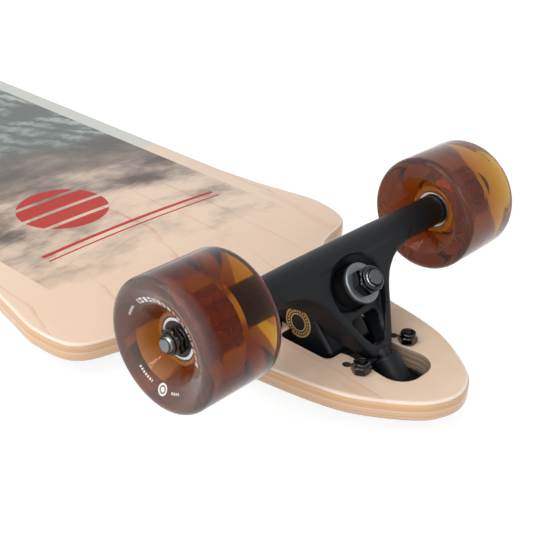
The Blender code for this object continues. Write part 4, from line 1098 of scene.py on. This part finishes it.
def nut_piece(name, matrix, sizes, material):
    """Lock nut: a chamfered hexagon, a rolled collar and a plain bore."""
    flats, hex_height, height, collar, bore = sizes
    corner = flats / sqrt(3)
    chamfer = corner - flats / 2
    points = [
        (bore, 0.0), (flats / 2, 0.0), (corner, chamfer * 0.6),
        (corner, hex_height - chamfer * 0.6), (flats / 2 * 0.97, hex_height),
        (collar, hex_height + 0.0002), (collar, height),
        (bore + 0.0004, height), (bore + 0.0002, height - 0.0008), (bore, height - 0.0010)]
    radii = [0.0, 0.0001, 0.0002, 0.0002, 0.0, 0.0003, 0.0008, 0.0004, 0.0, 0.0]
    bm = hexed(spun(rounded(points, radii, 4), 72), flats, -1.0, hex_height + 0.0001)
    return link_piece(name, bm, matrix, [material], 32.0)


def kingpin_mesh():
    """Kingpin with a hexagon head, a plain shank and a threaded end."""
    head_top = KINGPIN_HEAD_SEAT - CLEARANCE
    head_base = head_top - KINGPIN_HEAD
    corner = KINGPIN_FLATS / sqrt(3)
    profile = [
        (0.0, head_base), (KINGPIN_FLATS / 2, head_base), (corner, head_base + 0.0006),
        (corner, head_top), (KINGPIN_RADIUS, KINGPIN_HEAD_SEAT)]
    profile += thread_profile(KINGPIN_RADIUS, 0.0120, KINGPIN_END - 0.0007, 0.00106, 0.00045)
    profile += [
        (KINGPIN_RADIUS - 0.0007, KINGPIN_END), (0.0015, KINGPIN_END), (0.0, KINGPIN_END - 0.0002)]
    bm = hexed(spun(profile, 60, False), KINGPIN_FLATS, -1.0, KINGPIN_HEAD_SEAT - CLEARANCE / 2)
    # The end above the nut is worn bright on its threads and dull on its flat
    for face in bm.faces:
        if face.calc_center_median().z > NUT_SEAT + 0.004:
            face.material_index = 1 if abs(face.normal.z) < 0.9 else 2
    return bm


def bolt_mesh():
    """Mounting bolt with a low head, a hexagon socket and a threaded shank."""
    head_low = BOLT_HEAD_TOP - 0.0028
    profile = [(0.0, BOLT_STICK_OUT), (BOLT_RADIUS - 0.0005, BOLT_STICK_OUT)]
    profile += reversed(
        thread_profile(BOLT_RADIUS, 0.0010, BOLT_STICK_OUT - 0.0004, 0.0008, 0.0003))
    profile += [
        (BOLT_RADIUS, 0.0), (BOLT_RADIUS, BOLT_HEAD_TOP), (0.0046, BOLT_HEAD_TOP),
        (0.0046, head_low + 0.0012), (0.0043, head_low + 0.0005), (0.0036, head_low),
        (0.0019, head_low), (0.0017, head_low + 0.0003), (0.0017, head_low + 0.0016),
        (0.0, head_low + 0.0018)]
    bm = spun(profile, 36, False)
    for vert in bm.verts:
        if 0.0001 < radius_of(vert.co) < 0.0018 and vert.co.z < head_low + 0.0020:
            set_radius(vert.co, hexagon_radius(vert.co, BOLT_SOCKET_FLATS))
    for face in bm.faces:
        face.material_index = int(face.calc_center_median().z > 0.0030)
    return bm


def pivot_cup_mesh():
    """Liner of a pivot seat, with a rim that stands out round the hanger's pivot."""
    points = [
        (0.0, -0.0074), (0.0045, -0.0074), (0.0045, 0.0003), (0.0060, 0.0003), (0.0060, -0.0092),
        (0.0, -0.0092)]
    return spun(rounded(points, [0, 0, 0.0004, 0.0003, 0.0005, 0], 4), 40, False)


class LONGBOARD_OT_kingpins(bpy.types.Operator):
    """Model the kingpins with their nuts, washers, bushings and pivot cups"""

    bl_idname = "longboard.kingpins"
    bl_label = "Kingpins and bushings"

    def execute(self, context):
        looks = finishes(context)
        bolt_looks = [looks["black_steel"], looks["thread"], looks["bolt_end"]]
        for end in ENDS:
            matrix = kingpin_matrix(end)
            pin = link_piece("kingpin_bolt_" + end, kingpin_mesh(), matrix, bolt_looks, 30.0)
            stand_for(pin, "kingpin_" + end, "board")
            nut_matrix = matrix @ Matrix.Translation((0, 0, NUT_SEAT))
            nut = nut_piece(
                "kingpin_lock_nut_" + end, nut_matrix, KINGPIN_NUT, looks["black_steel"])
            stand_for(nut, "kingpin_nut_" + end, "board")
            for name, base, way in (
                    ("road", ROAD_WASHER_BASE, 1.0), ("board", BOARD_WASHER_BASE, -1.0)):
                washer = link_piece(
                    f"cupped_washer_{name}_{end}", spun(washer_outline(base, way), 64), matrix,
                    [looks["washer"]])
                stand_for(washer, f"{name}_washer_{end}", "board")
            for name, washer_end, ring_end in (
                    ("road", ROAD_BUSHING_TOP, ROAD_BUSHING_BASE),
                    ("board", BOARD_BUSHING_BASE, BOARD_BUSHING_TOP)):
                bushing = link_piece(
                    f"barrel_bushing_{name}_{end}",
                    spun(bushing_outline(washer_end, ring_end), 64), matrix, [looks["bushing"]])
                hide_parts(f"{name}_bushing_{end}")
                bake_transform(bushing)
            cup = link_piece(
                "pivot_cup_liner_" + end, pivot_cup_mesh(), pivot_matrix(end), [looks["bushing"]])
            stand_for(cup, "pivot_cup_" + end, "board")
        return {"FINISHED"}


class LONGBOARD_OT_hardware(bpy.types.Operator):
    """Model the mounting bolts and their lock nuts"""

    bl_idname = "longboard.hardware"
    bl_label = "Mounting bolts"

    def execute(self, context):
        looks = finishes(context)
        other = {"left": "right", "right": "left"}
        for end in ENDS:
            for place, (x, y) in BOLT_PLACES.items():
                along, side = place.split("_")
                label = f"{end}_{along}_{side if LEFT_SIDE[end] > 0 else other[side]}"
                matrix = truck_matrix(end) @ Matrix.Translation((x, y, 0))
                bolt = link_piece(
                    "mounting_bolt_" + label, bolt_mesh(), matrix,
                    [looks["black_steel"], looks["bolt_end"]], 30.0)
                stand_for(bolt, "bolt_" + label, "board")
                nut_matrix = matrix @ Matrix.Translation((0, 0, CLEARANCE))
                nut = nut_piece(
                    "nylon_lock_nut_" + label, nut_matrix, BOLT_NUT, looks["black_steel"])
                stand_for(nut, "lock_nut_" + label, "board")
        return {"FINISHED"}


HUB_HALF = 0.0121
TYRE_RADIUS = 0.0346
TYRE_HALF = 0.0245


def tyre_outline():
    """Section of a tyre, with the outer face of the wheel at the top."""
    points = [
        (TYRE_RADIUS, -TYRE_HALF), (TYRE_RADIUS, TYRE_HALF + 0.0025),
        (0.0205, TYRE_HALF - 0.0040), (0.0135, HUB_HALF), (0.0175, 0.0070), (0.0175, -0.0070),
        (0.0135, -HUB_HALF), (0.0240, -TYRE_HALF)]
    radii = [0.0045, 0.0045, 0.0018, 0.0, 0.0, 0.0, 0.0, 0.0020]
    return rounded(points, radii, 8)


def core_mesh(steps_each, slots):
    """Core of a wheel: hub rings at its ends and a slotted band round the middle."""
    band = [(0.0146, 0.0072), (0.0172, 0.0068)]
    outside = [(0.0132, HUB_HALF), (0.0138, 0.0112), *band]
    outside += [(radius, -height) for radius, height in reversed(outside)]
    bore = [
        (0.0113, -HUB_HALF), (0.0113, -0.0047), (0.0090, -0.0047), (0.0090, 0.0047),
        (0.0113, 0.0047), (0.0113, HUB_HALF)]
    radii = [0.0005, 0.0, 0.0004, 0.0004, 0.0004, 0.0004, 0.0, 0.0005, 0.0002, 0, 0, 0, 0, 0.0002]
    bm = spun(rounded(outside + bore, radii, 3), steps_each * slots)
    for vert in bm.verts:
        step = round(atan2(vert.co.y, vert.co.x) / (2 * pi) * steps_each * slots) % steps_each
        if radius_of(vert.co) > 0.0150 and step < steps_each * 3 // 8:
            set_radius(vert.co, 0.0148)
    return bm


class LONGBOARD_OT_wheels(bpy.types.Operator):
    """Model the four clear tyres and their slotted cores"""

    bl_idname = "longboard.wheels"
    bl_label = "Wheels"

    def execute(self, context):
        looks = finishes(context)
        sizes = context.scene.longboard_sizes
        for end in ENDS:
            for side in SIDES:
                label = f"{end}_{side}"
                body = label + "_wheel"
                matrix = axle_matrix(end, side, WHEEL_MIDDLE)
                tyre = link_piece(
                    "urethane_tyre_" + label, spun(tyre_outline(), sizes.wheel_steps), matrix,
                    [looks["tyre"]])
                stand_for(tyre, "tyre_" + label, body)
                core = link_piece(
                    "slotted_core_" + label, core_mesh(8, sizes.core_slots), matrix,
                    [looks["core"]])
                stand_for(core, "core_" + label, body)
        return {"FINISHED"}


def bearing_mesh():
    """Bearing with races, a sunk shield on each side and chamfered corners."""
    half = 0.0035
    side = [
        (0.0043, half), (0.0060, half), (0.0062, half - 0.0003), (0.0091, half - 0.0003),
        (0.0093, half), (0.0110, half)]
    points = side + [(radius, -height) for radius, height in reversed(side)]
    radii = [0.0003, 0.0001, 0.0, 0.0, 0.0001, 0.0005]
    bm = spun(rounded(points, radii + radii[::-1], 3), 64)
    for face in bm.faces:
        middle = face.calc_center_median()
        if 0.00605 < radius_of(middle) < 0.00925 and abs(middle.z) > half - 0.0004:
            face.material_index = 1
    return bm


def axle_mesh():
    """Ground axle with a threaded end on each side."""
    half = thread_profile(AXLE_RADIUS, 0.1100, AXLE_END - 0.0007, 0.00105, 0.00040)
    half += [(AXLE_RADIUS - 0.0008, AXLE_END), (0.0012, AXLE_END), (0.0, AXLE_END - 0.0003)]
    return spun([(radius, -height) for radius, height in reversed(half)] + half, 40, False)


class LONGBOARD_OT_axles(bpy.types.Operator):
    """Model the axles, their nuts and the eight bearings"""

    bl_idname = "longboard.axles"
    bl_label = "Axles and bearings"

    def execute(self, context):
        looks = finishes(context)
        for end in ENDS:
            axle = link_piece(
                "ground_axle_" + end, axle_mesh(), axle_matrix(end, "left"), [looks["steel"]], 30.0)
            stand_for(axle, "axle_" + end, end + "_hanger")
            for side in SIDES:
                label = f"{end}_{side}"
                nut = nut_piece(
                    "axle_lock_nut_" + label, axle_matrix(end, side, NUT_PLACE), AXLE_NUT,
                    looks["black_steel"])
                stand_for(nut, "axle_nut_" + label, end + "_hanger")
                for place, offset in (("inner", -BEARING_OFFSET), ("outer", BEARING_OFFSET)):
                    bearing = link_piece(
                        f"bearing_race_{place}_{label}", bearing_mesh(),
                        axle_matrix(end, side, WHEEL_MIDDLE + offset),
                        [looks["race"], looks["shield"]], 30.0)
                    stand_for(bearing, f"bearing_{place}_{label}", label + "_wheel")
        return {"FINISHED"}


# Place and axes of the camera that took the photograph, and its lens in millimetres
CAMERA_PLACE = Vector((0.714722, -0.373807, 0.315183))
CAMERA_RIGHT = Vector((0.73311588, 0.67946089, 0.02956351))
CAMERA_UP = Vector((-0.34477648, 0.33383013, 0.87731786))
CAMERA_BACK = Vector((0.58623399, -0.65336846, 0.47899830))
CAMERA_LENS = 64.62


def shown_white(tree, output, white, real):
    """Show a white surface to the camera and in reflections, and the real one to other rays."""
    path = add(tree, "LightPath", out=None).outputs
    seen = joined(tree, "MAXIMUM", [
        path[name] for name in ("Is Camera Ray", "Is Glossy Ray", "Is Transmission Ray")])
    feed(tree, tree.nodes[output], {"Surface": add(tree, "MixShader", (seen, real, white))})


def studio_paper():
    """White paper, matt: nearly plain white to the eye, with soft shadows on it."""
    material, tree, shader = new_material("studio_paper")
    feed(tree, shader, {"Base Color": "#E6E6E6", "Roughness": 0.9})
    glow = add(tree, "Emission", {"Color": (1, 1, 1, 1), "Strength": 0.885})
    soft = add(tree, "BsdfDiffuse", {"Color": (0.24, 0.24, 0.24, 1.0)})
    glowing = add(tree, "AddShader", (glow, soft))
    shown_white(tree, "Material Output", glowing, shader.outputs[0])
    return material


def studio_world():
    """Dim, slightly cool light from all sides, seen as plain white."""
    world = bpy.data.worlds.new("studio_world")
    world.use_nodes = True
    tree = world.node_tree
    dim = tree.nodes["Background"]
    feed(tree, dim, {"Color": (0.94, 0.97, 1.0, 1.0), "Strength": 0.48})
    white = add(tree, "Background", {"Color": (1, 1, 1, 1), "Strength": 1.0})
    shown_white(tree, "World Output", white, dim.outputs[0])
    return world


def photo_camera():
    """Camera of the photograph."""
    camera = bpy.data.cameras.new("photo_camera")
    camera.lens = CAMERA_LENS
    camera.sensor_width = 36.0
    camera.clip_start = 0.01
    camera.clip_end = 50.0
    obj = bpy.data.objects.new("photo_camera", camera)
    bpy.context.scene.collection.objects.link(obj)
    rotation = Matrix((CAMERA_RIGHT, CAMERA_UP, CAMERA_BACK)).transposed()
    obj.matrix_world = Matrix.Translation(CAMERA_PLACE) @ rotation.to_4x4()
    return obj


def area_lamp(name, place, target, size, power, colour):
    """Large soft lamp that looks at a target."""
    lamp = bpy.data.lights.new(name, "AREA")
    lamp.shape = "RECTANGLE"
    lamp.size, lamp.size_y = size
    lamp.energy = power
    lamp.color = colour
    obj = bpy.data.objects.new(name, lamp)
    bpy.context.scene.collection.objects.link(obj)
    obj.location = place
    obj.rotation_euler = (Vector(target) - Vector(place)).to_track_quat("-Z", "Y").to_euler()
    return obj


class LONGBOARD_OT_stage(bpy.types.Operator):
    """Set up the pale floor, the soft light and the camera"""

    bl_idname = "longboard.stage"
    bl_label = "Floor, light and camera"

    def execute(self, context):
        scene = context.scene
        bm = bmesh.new()
        bmesh.ops.create_grid(bm, x_segments=1, y_segments=1, size=6.0)
        # A hair below the bolts' heads, so that the two never flicker
        drop = Matrix.Translation((0.0, 0.0, -0.0004))
        link_piece("studio_floor", bm, drop, [studio_paper()])
        scene.world = studio_world()
        target = (0.38, 0.0, 0.04)
        area_lamp("soft_box_above", (0.15, -0.65, 1.0), target, (0.9, 0.9), 8.6, (1.0, 0.99, 0.97))
        area_lamp("soft_box_camera", (1.4, -1.1, 1.0), target, (1.0, 1.0), 9.0, (1.0, 1.0, 1.0))
        strip = area_lamp(
            "gloss_strip", (0.45, -1.15, 0.92), target, (0.7, 0.16), 7.0, (1.0, 0.99, 0.98))
        # The strip only draws the highlights on lacquered and cast edges
        strip.visible_diffuse = False
        scene.view_settings.view_transform = "Standard"
        scene.camera = photo_camera()
        return {"FINISHED"}


class LONGBOARD_PT_panel(bpy.types.Panel):
    """Lists the board's operators in the sidebar"""

    bl_label = "Longboard"
    bl_idname = "LONGBOARD_PT_panel"
    bl_space_type = "VIEW_3D"
    bl_region_type = "UI"
    bl_category = "Longboard"

    def draw(self, context):
        layout = self.layout
        for group in (context.scene.longboard_finish, context.scene.longboard_sizes):
            for name in group.__annotations__:
                layout.prop(group, name)
        for operator in OPERATORS:
            layout.operator(operator.bl_idname)


OPERATORS = (
    LONGBOARD_OT_deck, LONGBOARD_OT_grip, LONGBOARD_OT_baseplates, LONGBOARD_OT_hangers,
    LONGBOARD_OT_kingpins, LONGBOARD_OT_hardware, LONGBOARD_OT_wheels, LONGBOARD_OT_axles,
    LONGBOARD_OT_stage)
CLASSES = (LongboardFinish, LongboardSizes, *OPERATORS, LONGBOARD_PT_panel)


def register():
    """Register the classes and hang the settings on the scene."""
    for item in CLASSES:
        bpy.utils.register_class(item)
    bpy.types.Scene.longboard_finish = bpy.props.PointerProperty(type=LongboardFinish)
    bpy.types.Scene.longboard_sizes = bpy.props.PointerProperty(type=LongboardSizes)


def unregister():
    """Take the settings and classes away again."""
    del bpy.types.Scene.longboard_sizes
    del bpy.types.Scene.longboard_finish
    for item in reversed(CLASSES):
        bpy.utils.unregister_class(item)


def main():
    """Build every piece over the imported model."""
    register()
    bpy.ops.longboard.stage()
    bpy.ops.longboard.deck()
    bpy.ops.longboard.grip()
    bpy.ops.longboard.baseplates()
    bpy.ops.longboard.hangers()
    bpy.ops.longboard.kingpins()
    bpy.ops.longboard.hardware()
    bpy.ops.longboard.wheels()
    bpy.ops.longboard.axles()


if __name__ == "__main__":
    main()
